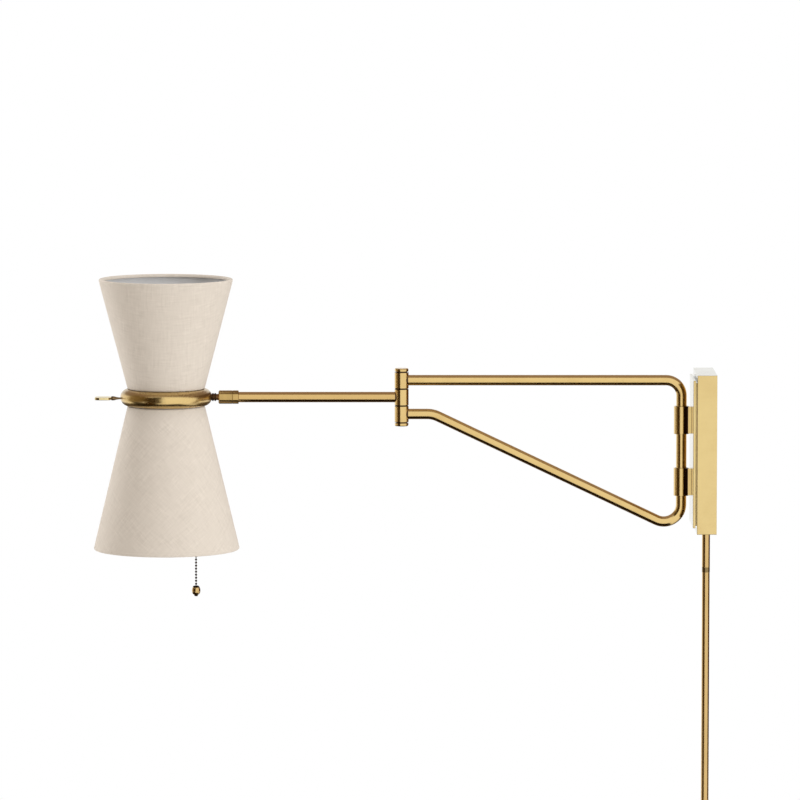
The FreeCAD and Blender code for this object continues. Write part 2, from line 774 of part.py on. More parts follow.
def make_elbow():
    make_knuckle("upper_knuckle", f"+ {KNUCKLE_STEP}", "arm")
    make_knuckle("lower_knuckle", f"- {KNUCKLE_STEP}", None)
    length = "(knuckle_height + washer_thickness + pin_reach)"
    pin_body = sleeve("upper_elbow_pin", "pin_diameter", "pin_bore", length,
                      (ELBOW_X, "0", "elbow_height + knuckle_height / 2 - pin_reach"))
    radial_hole(pin_body, "wire_hole + 2", f"{length} - knuckle_height / 2 - 0.4", "pin_diameter")
    low_pin = sleeve("lower_elbow_pin", "pin_diameter", "pin_bore", length,
                     (ELBOW_X, "0", "elbow_height - 1.5 * knuckle_height - washer_thickness"))
    node(group("elbow_pins", [pin_body, low_pin]))
    washers = []
    for name, height in (("high", "elbow_height + knuckle_height / 2 + running_clearance"),
                         ("low", "elbow_height - knuckle_height / 2 - washer_thickness")):
        washers.append(sleeve(f"elbow_washer_{name}", "barrel_diameter - 2 * washer_inset",
                              "pin_diameter + 2 * running_clearance",
                              "washer_thickness - running_clearance", (ELBOW_X, "0", height)))
    node(group("elbow_washers", washers))
    outline = [("0", "-cap_spigot"), ("pin_bore / 2 - running_clearance", "-cap_spigot"),
               ("pin_bore / 2 - running_clearance", "0"), ("cap_diameter / 2 - cap_groove_depth", "0"),
               ("cap_diameter / 2 - cap_groove_depth", "cap_groove"), ("cap_diameter / 2", "cap_groove"),
               ("cap_diameter / 2", "cap_groove + cap_height - cap_chamfer"),
               ("cap_diameter / 2 - cap_chamfer", "cap_groove + cap_height"),
               ("0", "cap_groove + cap_height")]
    ends = "(1.5 * knuckle_height + washer_thickness)"
    node(group("elbow_caps",
               [turned("elbow_top_cap", outline, (ELBOW_X, "0", f"elbow_height + {ends}")),
                turned("elbow_bottom_cap", outline, (ELBOW_X, "0", f"elbow_height - {ends}"), FLIPPED)]))
    node(bent_rod("arm_wire",
                  [(PIVOT_X, WIRE_MEET_Z), (PIVOT_X, UPPER_Z), (ELBOW_X, UPPER_Z),
                   (ELBOW_X, "elbow_height + knuckle_height / 2")],
                  ["top_bend", "wire_bend"], ["wire_diameter"], upright=True))


# forearm: middle knuckle, tube, collar with its lock nut, washers and the wire inside

def make_forearm():
    make_knuckle("middle_knuckle", "", "forearm")
    tube = new_body("forearm_tube", (HEAD_X, "0", "elbow_height"))
    section = new_sketch(tube, "YZ_Plane", FOREARM_END)
    circle(section, "0", "0", "tube_diameter")
    circle(section, "0", "0", "tube_diameter - 2 * tube_wall")
    pad(tube, section, f"forearm_length - {FOREARM_END}")
    drill(tube, "barrel_diameter", "knuckle_height", ("forearm_length", "0", "-knuckle_height / 2"), UP)
    node(tube)
    at = (HEAD_X, "0", "elbow_height")
    end = f"({COLLAR_START} + collar_length)"
    small = "(collar_diameter / 2 - collar_chamfer)"
    full = "collar_diameter / 2"
    node(turned("swivel_collar",
                [("stem_diameter / 2 + running_clearance", COLLAR_START), (small, COLLAR_START),
                 (full, f"{COLLAR_START} + collar_chamfer"), (full, f"{end} - 0.3"),
                 (f"{full} - 0.3", end), ("tube_diameter / 2", end),
                 ("tube_diameter / 2", f"{COLLAR_START} + collar_lip"),
                 ("stem_diameter / 2 + running_clearance", f"{COLLAR_START} + collar_lip")],
                at, ALONG_X))
    last = f"({end} + collar_nut_length)"
    node(turned("collar_nut",
                [("tube_diameter / 2", end), (f"{full} - 0.3", end), (full, f"{end} + 0.3"),
                 (full, f"{last} - 0.4"), (f"{full} - 0.4", last), ("tube_diameter / 2", last)],
                at, ALONG_X))
    node(sleeve("friction_washer_ring", "stem_flange", "stem_diameter + 4 * running_clearance",
                "friction_washer",
                (f"{HEAD_X} + {COLLAR_START} + collar_lip", "0", "elbow_height"), ALONG_X))
    start = f"({FLANGE_END} + running_clearance)"
    stop = f"({start} + spring_washer)"
    low = "(tube_diameter / 2 - tube_wall - 0.4)"
    node(turned("swivel_spring",
                [(low, start), (f"{low} + 0.5", start), ("tube_diameter / 2 - 0.2", f"{stop} - 0.5"),
                 ("tube_diameter / 2 - 0.2", stop), ("tube_diameter / 2 - 0.6", stop),
                 (low, f"{start} + 0.5")],
                at, ALONG_X))
    node(bent_rod("forearm_wire",
                  [(f"{HEAD_X} + {FLANGE_END} + running_clearance", "elbow_height"),
                   (ELBOW_X, "elbow_height"), (ELBOW_X, "elbow_height + knuckle_height / 2")],
                  ["wire_bend"], ["wire_diameter"]))


# head: swivel stem, ring, handle, spider, lamp holders, bulbs and shades

def make_head_frame():
    at = (HEAD_X, "0", "elbow_height")
    inside = "(ring_diameter / 2 + ring_tube / 2 - ring_wall - 1)"
    node(turned("swivel_stem",
                [("stem_bore / 2", inside), ("stem_diameter / 2", inside),
                 ("stem_diameter / 2", FLANGE_START), ("stem_flange / 2", FLANGE_START),
                 ("stem_flange / 2", FLANGE_END), ("stem_bore / 2", FLANGE_END)],
                at, ALONG_X))
    first = f"({RING_OUT} + running_clearance)"
    discs = []
    for i, start in enumerate((first, f"{first} + neck_disc_thickness + neck_disc_gap")):
        discs.append(sleeve(f"neck_disc_{i}", "neck_disc_diameter", "stem_diameter", "neck_disc_thickness",
                            (f"{HEAD_X} + {start}", "0", "elbow_height"), ALONG_X))
    node(group("neck_discs", discs))

    handle_z = "elbow_height - handle_drop"
    ring = torus("ring_outside", "ring_diameter", "ring_tube", at)
    hollow = torus("ring_inside", "ring_diameter", "ring_tube - 2 * ring_wall", at)
    stem_hole = cylinder("ring_stem_hole", "stem_diameter", "ring_tube",
                         (f"{HEAD_X} + ring_diameter / 2", "0", "elbow_height"), ALONG_X)
    wire_way = cylinder("ring_wire_hole", "wire_hole", "ring_tube",
                        (f"{HEAD_X} + ring_diameter / 2 - ring_tube", "0", "elbow_height"), ALONG_X)
    handle_hole = cylinder("ring_handle_hole", "handle_stem", "ring_tube",
                           (f"{HEAD_X} - ring_diameter / 2", "0", handle_z), ALONG_MINUS_X)
    node(cut("shade_ring", ring, [hollow, stem_hole, wire_way, handle_hole]))

    tip = f"({RING_OUT} - ring_wall)"
    bead = "handle_bead / 2"
    thin = "handle_stem / 2"
    node(turned("handle_stem_bead",
                [("0", tip), (thin, tip), (thin, f"{RING_OUT} + handle_gap * 0.12"),
                 (f"{bead} * 0.62", f"{RING_OUT} + handle_gap * 0.42"),
                 (f"{bead} * 0.92", f"{RING_OUT} + handle_gap * 0.68"),
                 (bead, f"{RING_OUT} + handle_gap * 0.86"), (f"{bead} * 0.9", f"{RING_OUT} + handle_gap"),
                 (thin, f"{RING_OUT} + handle_gap"), (thin, f"{RING_OUT} + handle_gap + 4"),
                 ("0", f"{RING_OUT} + handle_gap + 4")],
                (HEAD_X, "0", handle_z), ALONG_MINUS_X))
    paddle = new_body("handle_paddle", (f"{HEAD_X} - {RING_OUT} - handle_gap", "0", handle_z))
    outline = new_sketch(paddle, "XY_Plane", "-handle_thickness / 2")
    rectangle(outline, "-handle_length", "0", "-handle_width / 2", "handle_width / 2")
    flat = pad(paddle, outline, "handle_thickness")
    corner = rounded(paddle, flat, "handle_corner", lambda e: abs(e.tangentAt(e.FirstParameter).z) > 0.99)
    level = number("handle_thickness / 2")
    rounded(paddle, corner, "handle_edge", lambda e: on_plane(e, "Z", level) or on_plane(e, "Z", -level))
    radial_hole(paddle, "handle_stem", "0", "4 + running_clearance", flip=True)
    node(paddle)

    hub = cylinder("spider_hub", "hub_diameter", "spider_thickness",
                   (HEAD_X, "0", f"elbow_height - {HUB_TOP}"))
    arms = [hub]
    for turn in (60, 180, 300):
        arm = add("Part::Box", f"spider_arm_{turn}")
        bind(arm, "Length", "ring_diameter / 2")
        bind(arm, "Width", "spider_arm_width")
        bind(arm, "Height", "spider_thickness")
        spin = FreeCAD.Rotation(FreeCAD.Vector(0, 0, 1), turn)
        side = spin.multVec(FreeCAD.Vector(0, -0.5, 0))
        place(arm, (f"{HEAD_X} + ({side.x:.9f}) * spider_arm_width",
                    f"({side.y:.9f}) * spider_arm_width", f"elbow_height - {HUB_TOP}"), spin)
        arms.append(arm)
    frame = fuse("spider_blank", arms)
    rim = torus("spider_rim_cut", "ring_diameter", "ring_tube", at)
    hole = cylinder("spider_hole", "nipple_diameter", "spider_thickness * 3",
                    (HEAD_X, "0", "elbow_height - 1.5 * spider_thickness"))
    node(cut("ring_spider", frame, [rim, hole]))
    node(sleeve("spider_nipple", "nipple_diameter", "nipple_bore", "2 * (holder_floor - 0.5)",
                (HEAD_X, "0", "elbow_height - holder_floor + 0.5")))
    span = f"({RING_IN} - {HOLDER_ENTRY})"
    node(bent_rod("head_wire",
                  [(FLANGE_END, "0"), (f"{HOLDER_ENTRY} + 0.75 * {span}", "0"),
                   (f"{HOLDER_ENTRY} + 0.45 * {span}", "-head_wire_drop"),
                   (HOLDER_ENTRY, "-head_wire_drop")],
                  ["wire_bend", "wire_bend"], ["wire_diameter"], at=at))


def make_holder(side, turn):
    """Lamp holder and bulb on one side of the spider; its small pieces are handed back."""
    at = (HEAD_X, "0", "elbow_height")
    flange_top = f"({FITTER_LEVEL} - fitter_ring_height / 2)"
    outer = "holder_diameter / 2"
    inner = "(holder_diameter / 2 - holder_wall)"
    body = turned(f"{side}_lamp_holder",
                  [("nipple_diameter / 2", HUB_TOP), ("holder_cap_diameter / 2", HUB_TOP),
                   (outer, f"{flange_top} - 1.5"), ("holder_flange / 2", f"{flange_top} - 1.5"),
                   ("holder_flange / 2", flange_top), (outer, flange_top), (outer, "holder_height"),
                   (inner, "holder_height"), (inner, "holder_floor"),
                   ("nipple_diameter / 2", "holder_floor")],
                  at, turn)
    if side == "lower":
        drill(body, "wire_hole", "holder_flange", (f"{HOLDER_ENTRY} - 0.5", "0", "head_wire_drop"), ALONG_X)
    node(body)
    shell = f"({inner} - shell_gap)"
    shell_body = turned(
        f"{side}_screw_shell",
        [("contact_diameter / 2 + 2", "holder_floor"), (shell, "holder_floor"),
         (shell, "holder_height - shell_inset"), (f"{shell} - shell_wall", "holder_height - shell_inset"),
         (f"{shell} - shell_wall", "holder_floor + shell_wall"),
         ("contact_diameter / 2 + 2", "holder_floor + shell_wall")],
        at, turn)
    contact = turned(
        f"{side}_contact",
        [("nipple_bore / 2 - 1.5", "holder_floor"), ("contact_diameter / 2 + 1", "holder_floor"),
         ("contact_diameter / 2 + 1", "holder_floor + 0.6"),
         ("contact_diameter / 2", "holder_floor + contact_height"),
         ("nipple_bore / 2 - 1.5", "holder_floor + contact_height")],
        at, turn)
    seat = CLAMP_SEAT
    clamp = turned(
        f"{side}_clamp_ring",
        [(outer, seat), ("clamp_diameter / 2", seat), ("clamp_diameter / 2", f"{seat} + clamp_height"),
         (outer, f"{seat} + clamp_height")],
        at, turn)
    tip = "(holder_floor + contact_height)"
    base_end = f"({tip} + bulb_base_length)"
    thin = "(bulb_neck_diameter / 2 - glass_thickness)"
    base = turned(
        f"{side}_bulb_base",
        [("0", tip), ("4.5", tip), ("5", f"{tip} + 1.2"), ("10", f"{tip} + 3"),
         ("bulb_base_diameter / 2", f"{tip} + 4"), ("bulb_base_diameter / 2", base_end),
         (thin, base_end), (thin, f"{tip} + 6"), ("0", f"{tip} + 5")],
        at, turn)
    sign = "+" if side == "upper" else "-"
    half_chord = "sqrt(pow(globe_diameter; 2) - pow(bulb_neck_diameter; 2)) / 2"
    centre = f"({base_end} + bulb_neck_rise + {half_chord})"
    shapes = []
    for name, less in (("glass", "0"), ("inside", "2 * glass_thickness")):
        globe = sphere(f"{side}_bulb_{name}_globe", f"globe_diameter - {less}",
                       (HEAD_X, "0", f"elbow_height {sign} {centre}"))
        neck = cylinder(f"{side}_bulb_{name}_neck", f"bulb_neck_diameter - {less}",
                        f"{centre} - {base_end}", (HEAD_X, "0", f"elbow_height {sign} {base_end}"), turn)
        shapes.append(fuse(f"{side}_bulb_{name}", [globe, neck]))
    node(cut(f"{side}_bulb", shapes[0], shapes[1:]))
    return shell_body, contact, clamp, base


def make_shade(side, turn):
    """Fabric cover with a rolled hem, liner and fitter of one shade; hands back its rim wire."""
    at = (HEAD_X, "0", "elbow_height")
    neck = f"(ring_diameter / 2 + {side}_neck_outset)"
    start = "(ring_tube / 2 + neck_clearance)"
    rim, stop = f"{side}_rim_diameter / 2", f"{side}_rim_height"
    slope = f"(({rim} - {neck}) / ({stop} - {start}))"
    hem = "(2 * cover_thickness + rim_wire + 2 * shade_slack)"

    def wall(height, depth):
        """Radius at a height, a given depth inside the outer face."""
        return f"{neck} + {slope} * ({height} - {start}) - ({depth})"

    low = f"({stop} - hem_depth)"
    roof = f"({stop} - cover_thickness)"
    cover = "cover_thickness"
    body = turned(f"{side}_shade_cover",
                  [(wall(start, "0"), start), (f"{rim} - {slope} * 1.2", f"{stop} - 1.2"),
                   (f"{rim} - 0.9", stop), (f"{rim} - {hem} + 0.9", stop),
                   (wall(f"{stop} - 1.2", hem), f"{stop} - 1.2"), (wall(low, hem), low),
                   (wall(low, f"{hem} - {cover}"), low), (wall(roof, f"{hem} - {cover}"), roof),
                   (wall(roof, cover), roof), (wall(start, cover), start)],
                  at, turn)
    node(body)
    inside = f"{cover} + shade_slack"
    edge = f"({roof} - rim_wire - 2 * shade_slack)"
    node(turned(f"{side}_shade_liner",
                [(wall(start, inside), start), (wall(edge, inside), edge),
                 (wall(edge, f"{inside} + liner_thickness"), edge),
                 (wall(start, f"{inside} + liner_thickness"), start)],
                at, turn))
    sign = "" if side == "upper" else "-"
    height = f"({roof} - rim_wire / 2)"
    rim_wire = torus(f"{side}_rim_wire", f"2 * ({wall(height, hem + ' / 2')})", "rim_wire - shade_slack",
                     (HEAD_X, "0", f"elbow_height + {sign}{height}"), turn)
    level = f"({start} + fitter_rise + fitter_wire / 2)"
    radius = f"({wall(level, inside + ' + liner_thickness + fitter_wire * 0.52 + shade_slack')})"
    pieces = [torus(f"{side}_fitter_wire", f"2 * {radius}", "fitter_wire",
                    (HEAD_X, "0", f"elbow_height + {sign}{level}"), turn)]
    bottom = f"({FITTER_LEVEL} - fitter_ring_height / 2)"
    uno = cylinder(f"{side}_fitter_disc", "holder_diameter + 2 * fitter_ring_width", "fitter_ring_height",
                   (HEAD_X, "0", f"elbow_height + {sign}{bottom}"), turn)
    pieces.append(uno)
    for angle in (60, 180, 300):
        way = FreeCAD.Rotation(FreeCAD.Vector(0, 0, 1), angle) * ALONG_X
        pieces.append(cylinder(f"{side}_fitter_spoke_{angle}", "fitter_wire - 0.2", radius,
                               (HEAD_X, "0", f"elbow_height + {sign}{FITTER_LEVEL}"), way))
    blank = fuse(f"{side}_fitter_blank", pieces)
    hole = cylinder(f"{side}_fitter_hole", "holder_diameter + 0.2", "fitter_ring_height * 3",
                    (HEAD_X, "0", f"elbow_height + {sign}({bottom} - fitter_ring_height)"), turn)
    node(cut(f"{side}_shade_fitter", blank, [hole]))
    return rim_wire


# pull switch on the lower lamp holder, its rod, and the ball chain

def make_pull_switch():
    x = f"({HEAD_X} + pull_offset)"
    z = f"(elbow_height - {SWITCH_LEVEL})"
    case = cylinder("switch_case", "switch_diameter", "switch_length - 12",
                    (f"{HEAD_X} + 12", "0", z), ALONG_X)
    holder = cylinder("switch_seat", "holder_diameter", "switch_diameter * 2",
                      (HEAD_X, "0", f"{z} - switch_diameter"))
    way = cylinder("switch_bore", "pull_rod_diameter + 2 * pull_clearance", "switch_diameter",
                   (x, "0", f"{z} + switch_diameter / 3 - switch_diameter"))
    node(cut("switch_housing", case, [holder, way]))
    mouth = "(switch_diameter / 2 + nozzle_length)"
    bore = "(pull_rod_diameter / 2 + pull_clearance)"
    nozzle = turned("pull_nozzle",
                    [(bore, f"-{mouth} + nozzle_flare * 2"), (f"{bore} + nozzle_flare", f"-{mouth}"),
                     ("nozzle_diameter / 2", f"-{mouth}"), ("nozzle_diameter / 2", "-switch_diameter / 4"),
                     (bore, "-switch_diameter / 4")],
                    (x, "0", z))
    drill(nozzle, "switch_diameter", "switch_diameter * 2", ("-switch_diameter", "0", "0"), ALONG_X)
    node(nozzle)

    low = f"({mouth} + 1)"
    axis = f"({low} + coupling_height - coupling_slot)"
    rod = cylinder("pull_rod_shank", "pull_rod_diameter", f"{low} + switch_diameter / 3 - 1",
                   (x, "0", f"{z} - {low}"))
    bell = cylinder("pull_rod_bell", "coupling_diameter", "coupling_height",
                    (x, "0", f"{z} - {low} - coupling_height"))
    slot = box("pull_rod_slot", "coupling_slot", "coupling_diameter * 2", "coupling_height - 1",
               (f"{x} - coupling_slot / 2", "-coupling_diameter", f"{z} - {low} - coupling_height"))
    pin_way = cylinder("pull_rod_pin_hole", "coupling_pin", "coupling_diameter * 2",
                       (f"{x} - coupling_diameter", "0", f"{z} - {axis}"), ALONG_X)
    node(cut("pull_rod", fuse("pull_rod_blank", [rod, bell]), [slot, pin_way]))
    node(cylinder("coupling_cross_pin", "coupling_pin", "coupling_diameter - 1",
                  (f"{x} - coupling_diameter / 2 + 0.5", "0", f"{z} - {axis}"), ALONG_X))

    top = "(eye_diameter / 2 + bead_diameter / 2 + 0.7)"
    chain = new_body("pull_chain", (x, "0", f"{z} - {axis}"))
    wire = chain.newObject("PartDesign::AdditiveCylinder", "chain_link_wire")
    bind(wire, "Radius", "chain_wire / 2")
    bind(wire, "Height", f"{top} + (bead_count - 1) * bead_pitch + bead_diameter - eye_diameter / 2 + 0.3")
    bind(wire, "Placement.Base.z", f"-{top} - (bead_count - 1) * bead_pitch - bead_diameter")
    bead = chain.newObject("PartDesign::AdditiveSphere", "chain_bead")
    bind(bead, "Radius", "bead_diameter / 2")
    bind(bead, "Placement.Base.z", f"-{top}")
    row = chain.newObject("PartDesign::LinearPattern", "chain_beads")
    row.Originals = [bead]
    row.Direction = (next(f for f in chain.Origin.OriginFeatures if f.Role == "Z_Axis"), [""])
    row.Reversed = True
    bind(row, "Length", "(bead_count - 1) * bead_pitch")
    bind(row, "Occurrences", "bead_count")
    chain.Tip = row
    eye = new_sketch(chain, "YZ_Plane")
    circle(eye, "0", "0", "eye_diameter")
    pad(chain, eye, "eye_width", both=True)
    hole = new_sketch(chain, "YZ_Plane")
    circle(hole, "0", "0", "coupling_pin + 2 * running_clearance")
    pocket(chain, hole, "eye_width * 2", both=True)
    node(chain)

    crown = f"({top} + (bead_count - 1) * bead_pitch + bead_diameter / 2)"
    wide = "finial_diameter / 2"
    outline = [("chain_wire / 2", "-finial_gap"), (f"{wide} * 0.56", "-finial_gap"),
               (f"{wide} * 0.76", "-finial_height * 0.11"),
               (f"{wide} * 0.86", "-finial_height * 0.19"), (f"{wide} * 0.97", "-finial_height * 0.34"),
               (wide, "-finial_height * 0.48"), (f"{wide} * 0.96", "-finial_height * 0.6"),
               (f"{wide} * 0.8", "-finial_height * 0.75"), ("finial_foot / 2", "-finial_height * 0.86"),
               ("finial_foot / 2", "-finial_height"), ("0", "-finial_height"), ("0", "-bead_diameter / 2"),
               ("chain_wire / 2", "-bead_diameter / 2")]
    node(turned("chain_finial", outline, (x, "0", f"{z} - {axis} - {crown}")))


def check_document():
    """Stop when any object failed or any piece has a bad shape."""
    for thing in DOC.Objects:
        if any(word in thing.State for word in ("Invalid", "Error")):
            raise RuntimeError(f"{thing.Label} did not compute: {thing.State}")
    for thing in NODES:
        shape = thing.Shape
        if shape.isNull() or not shape.isValid() or not shape.Solids:
            raise RuntimeError(f"{thing.Label} has a bad shape")


def main():
    make_bracket()
    make_canopy()
    make_front_plate()
    make_lug("upper_lug", "lug_centre", grub=True, wire=False)
    make_lug("lower_lug", "-lug_centre", grub=False, wire=True)
    node(group("pivot_bushes", [make_bush("upper_bush", "lug_centre", grub=True, wire=False),
                                make_bush("lower_bush", "-lug_centre", grub=False, wire=True)]))
    make_wall_screws()
    make_terminal_block()
    make_cord_cover()
    make_arm_tube()
    make_elbow()
    make_forearm()
    make_head_frame()
    sides = (("upper", UP), ("lower", FLIPPED))
    sets = zip(*[make_holder(side, turn) for side, turn in sides])
    for label, pair in zip(("screw_shells", "lamp_contacts", "clamp_rings", "bulb_bases"), sets):
        node(group(label, list(pair)))
    node(group("rim_wires", [make_shade(side, turn) for side, turn in sides]))
    make_pull_switch()
    DOC.recompute()
    check_document()
    os.makedirs("parts", exist_ok=True)
    for thing in NODES:
        thing.Shape.exportStep(f"parts/{thing.Label}.step")
        print(f"{thing.Label}: {len(thing.Shape.Solids)} solid, {thing.Shape.Volume:.0f} mm3")


main()
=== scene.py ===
import math

import bmesh
import bpy
from bpy.props import FloatProperty, FloatVectorProperty, PointerProperty
from mathutils import Matrix, Vector


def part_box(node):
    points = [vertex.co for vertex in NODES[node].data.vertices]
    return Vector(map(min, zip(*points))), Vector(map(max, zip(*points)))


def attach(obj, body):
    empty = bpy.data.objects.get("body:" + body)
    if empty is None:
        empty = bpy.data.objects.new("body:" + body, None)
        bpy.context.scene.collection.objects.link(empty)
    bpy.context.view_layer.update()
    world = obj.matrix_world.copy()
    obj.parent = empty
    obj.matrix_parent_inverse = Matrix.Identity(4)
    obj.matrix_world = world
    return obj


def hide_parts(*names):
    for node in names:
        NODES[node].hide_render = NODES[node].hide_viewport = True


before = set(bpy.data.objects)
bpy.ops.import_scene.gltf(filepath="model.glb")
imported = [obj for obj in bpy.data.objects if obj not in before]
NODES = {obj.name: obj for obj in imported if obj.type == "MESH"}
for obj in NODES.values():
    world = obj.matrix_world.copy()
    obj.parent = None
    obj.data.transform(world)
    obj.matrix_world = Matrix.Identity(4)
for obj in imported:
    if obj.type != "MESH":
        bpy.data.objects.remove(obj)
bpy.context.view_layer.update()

bl_info = {
    "name": "Swing arm wall lamp",
    "version": (1, 0, 0),
    "blender": (4, 5, 0),
    "location": "3D View > Sidebar > Wall lamp",
    "description": "Finishes, linen shade covers, turned details and stage of a brass wall lamp",
    "category": "Object",
}

X_AXIS, Y_AXIS, Z_AXIS = 0, 1, 2
WHITE = (1.0, 1.0, 1.0)


def middle(name):
    """Centre of a CAD node's box."""
    low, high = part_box(name)
    return (Vector(low) + Vector(high)) / 2


HEAD = middle("shade_ring")


# sizes and colours that a user may change

def length(name, description, default):
    """A size in metres."""
    return FloatProperty(name=name, description=description, default=default, min=0.0, unit="LENGTH",
                         precision=5)


def share(name, description, default, most=1.0):
    """A plain factor."""
    return FloatProperty(name=name, description=description, default=default, min=0.0, max=most)


def angle(name, description, degrees):
    """An angle, given in degrees."""
    return FloatProperty(name=name, description=description, default=math.radians(degrees), subtype="ANGLE")


def colour(name, description, default):
    """A colour in linear red, green and blue."""
    return FloatVectorProperty(name=name, description=description, default=default, size=3, min=0.0, max=1.0,
                               subtype="COLOR")


class LampShadeSettings(bpy.types.PropertyGroup):
    """Cut and cloth of the two shade covers"""
    upper_neck: length("Upper neck", "Radius of the upper cover where it sits on the ring", 0.04125)
    lower_neck: length("Lower neck", "Radius of the lower cover where it sits on the ring", 0.0413)
    cloth: length("Cloth", "Thickness of the linen", 0.0008)
    hem_width: length("Hem width", "Width of the hem that is rolled round the rim wire", 0.0042)
    hem_depth: length("Hem depth", "How far the hem turns down inside the rim", 0.0034)
    stitch: length("Stitch line", "How far below the rim the hem is stitched", 0.004)
    stitch_depth: length("Stitch depth", "How far the stitching draws the cloth in", 0.00028)
    seat: length("Seat", "How far a cover reaches down past its CAD solid, onto the ring", 0.00015)
    lap: length("Lap", "Width of the glued lap at the back of a cover", 0.009)
    upper_grain: angle("Upper grain", "Turn of the weave on the upper cover", 0)
    lower_grain: angle("Lower grain", "Turn of the weave on the lower cover", 45)
    linen: colour("Linen", "Main colour of the cloth", (0.735, 0.667, 0.588))
    slub: colour("Slub", "Colour of the thicker threads", (0.67, 0.603, 0.525))
    liner: colour("Liner", "Colour of the stiff liner inside the covers", (0.68, 0.685, 0.695))


class LampMetalSettings(bpy.types.PropertyGroup):
    """Tones and surface of the metal"""
    brass: colour("Brass", "Clean satin brass", (0.80, 0.605, 0.255))
    pale: colour("Pale brass", "Polished brass of the handle", (0.90, 0.77, 0.44))
    warm: colour("Warm brass", "Brass of the bent arm and the knuckles", (0.80, 0.575, 0.235))
    toned: colour("Toned brass", "Brass of the forearm and the cord cover", (0.71, 0.475, 0.18))
    aged: colour("Aged brass", "Brass where it has toned down", (0.62, 0.41, 0.135))
    oxide: colour("Oxidised brass", "Dark red-brown brass of the neck", (0.17, 0.085, 0.033))
    worn: colour("Worn brass", "Brown brass of the handle's stem", (0.247, 0.167, 0.0855))
    steel: colour("Steel", "Zinc plated steel", (0.56, 0.57, 0.58))
    enamel: colour("Enamel", "Satin enamel on the shade frames", (0.80, 0.78, 0.73))
    roughness: share("Roughness", "Roughness of the satin brass", 0.2)
    thin_lacquer: share("Thin lacquer", "Weight of the lacquer on the arms, the lugs and the ring", 0.35)
    edge: length("Edge", "Radius at which the metal's edges are eased", 0.0004)


class LampPaintedLightSettings(bpy.types.PropertyGroup):
    """Bands where shade and reflections are painted onto the brass"""
    # painted shade on the side of the pivot's sleeves that faces the wall plate
    sleeve_place: length("Sleeve place", "How far behind the pivot's axis the sleeves are dark", 0.0047)
    sleeve_half: length("Sleeve half width", "Half width of the sleeves' dark side", 0.0024)
    # painted shade along the elbow's joint lines, between the knuckles and under the caps
    washer_place: length("Washer place", "How far outside the middle knuckle its joint lines lie", 0.0005)
    cap_place: length("Cap place", "How far outside the outer knuckles the lines of the caps lie", 0.0004)
    line_half: length("Line half width", "Half width of the elbow's dark lines", 0.0008)
    # painted shade where the tubes meet the middle knuckle
    junction_shade_half: length("Braze half width", "How far from the elbow's axis the tubes' ends are dark", 0.00705)
    # painted shade above and below the ring's middle, where the shades sit on it
    seat_place: length("Seat place", "How far above and below its middle the ring darkens", 0.0068)
    seat_half: length("Seat half width", "Half width of the ring's dark bands", 0.003)
    seat_soft: length("Seat softness", "How softly the ring's dark bands end", 0.0012)
    seat_weight: share("Seat weight", "How dark the ring's bands are", 0.3)
    # painted reflection: dark bands on the collar above and below its axis
    collar_place: length("Collar place", "How far above and below its axis the collar darkens", 0.0051)
    collar_half: length("Collar half width", "Half width of the collar's dark bands", 0.0016)
    collar_soft: length("Collar softness", "How softly the collar's dark bands end", 0.0005)
    collar_weight: share("Collar weight", "How dark the collar's bands are", 0.4)
    # painted reflection: the collar's darkest line, below its axis
    collar_line_place: length("Collar line place", "How far below its axis the collar is darkest", 0.004)
    collar_line_half: length("Collar line half width", "Half width of the collar's darkest line", 0.0009)
    collar_line_soft: length("Collar line softness", "How softly the collar's darkest line ends", 0.0004)
    collar_line_weight: share("Collar line weight", "How dark the collar's darkest line is", 0.75)


class LampStageSettings(bpy.types.PropertyGroup):
    """Camera and surroundings"""
    distance: length("Camera distance", "Distance of the camera from the lamp", 6.42)
    pitch: angle("Camera pitch", "How far the camera looks down", 5.5)
    lens: FloatProperty(name="Lens", description="Focal length on a 36 mm sensor", default=270.0,
                        unit="CAMERA")
    target: FloatVectorProperty(name="Target", description="Point in the middle of the picture",
                                default=(-0.337, 0.0, 0.0545), size=3, subtype="TRANSLATION")
    floor: length("Floor drop", "How far below the lamp's origin the floor lies", 1.3)
    fill: share("Fill", "Strength of the even light from all round", 0.58, 4.0)


# building blocks for the finishes

def feed(tree, node, inputs):
    """Gives a node's sockets values or other nodes' outputs, by socket name or place."""
    for key, value in inputs.items():
        if isinstance(value, bpy.types.NodeSocket):
            tree.links.new(value, node.inputs[key])
        else:
            node.inputs[key].default_value = value


def shade_node(tree, kind, inputs=None, **settings):
    """Adds a shader node with its settings and its inputs."""
    made = tree.nodes.new(kind)
    for name, value in settings.items():
        setattr(made, name, value)
    feed(tree, made, inputs or {})
    return made


def bare_finish(name):
    """A new material and its empty node tree."""
    finish = bpy.data.materials.new(name)
    finish.use_nodes = True
    finish.node_tree.nodes.clear()
    return finish, finish.node_tree


def new_finish(name, values):
    """A new material with one Principled shader that has these plain values."""
    finish, tree = bare_finish(name)
    shader = shade_node(tree, "ShaderNodeBsdfPrincipled", values)
    shade_node(tree, "ShaderNodeOutputMaterial", {"Surface": shader.outputs["BSDF"]})
    return finish, tree, shader


def rgba(values):
    """A colour with full alpha."""
    return (*values, 1.0)


def tinted(base, factor):
    """A colour made darker or brighter."""
    return tuple(min(1.0, factor * part) for part in base)


def object_place(tree, stretch=None, turn=(0, 0, 0)):
    """Object coordinates, stretched and turned where that is asked for."""
    at = tree.nodes.new("ShaderNodeTexCoord").outputs["Object"]
    if stretch is None:
        return at
    return shade_node(tree, "ShaderNodeMapping",
                      {"Vector": at, "Scale": stretch, "Rotation": turn}).outputs[0]


def noise(tree, at, scale=1.0, detail=4.0, roughness=0.55, distortion=0.0):
    """Noise at a place; a stretched place keeps the scale of 1."""
    return shade_node(tree, "ShaderNodeTexNoise",
                      {"Vector": at, "Scale": scale, "Detail": detail, "Roughness": roughness,
                       "Distortion": distortion}).outputs[0]


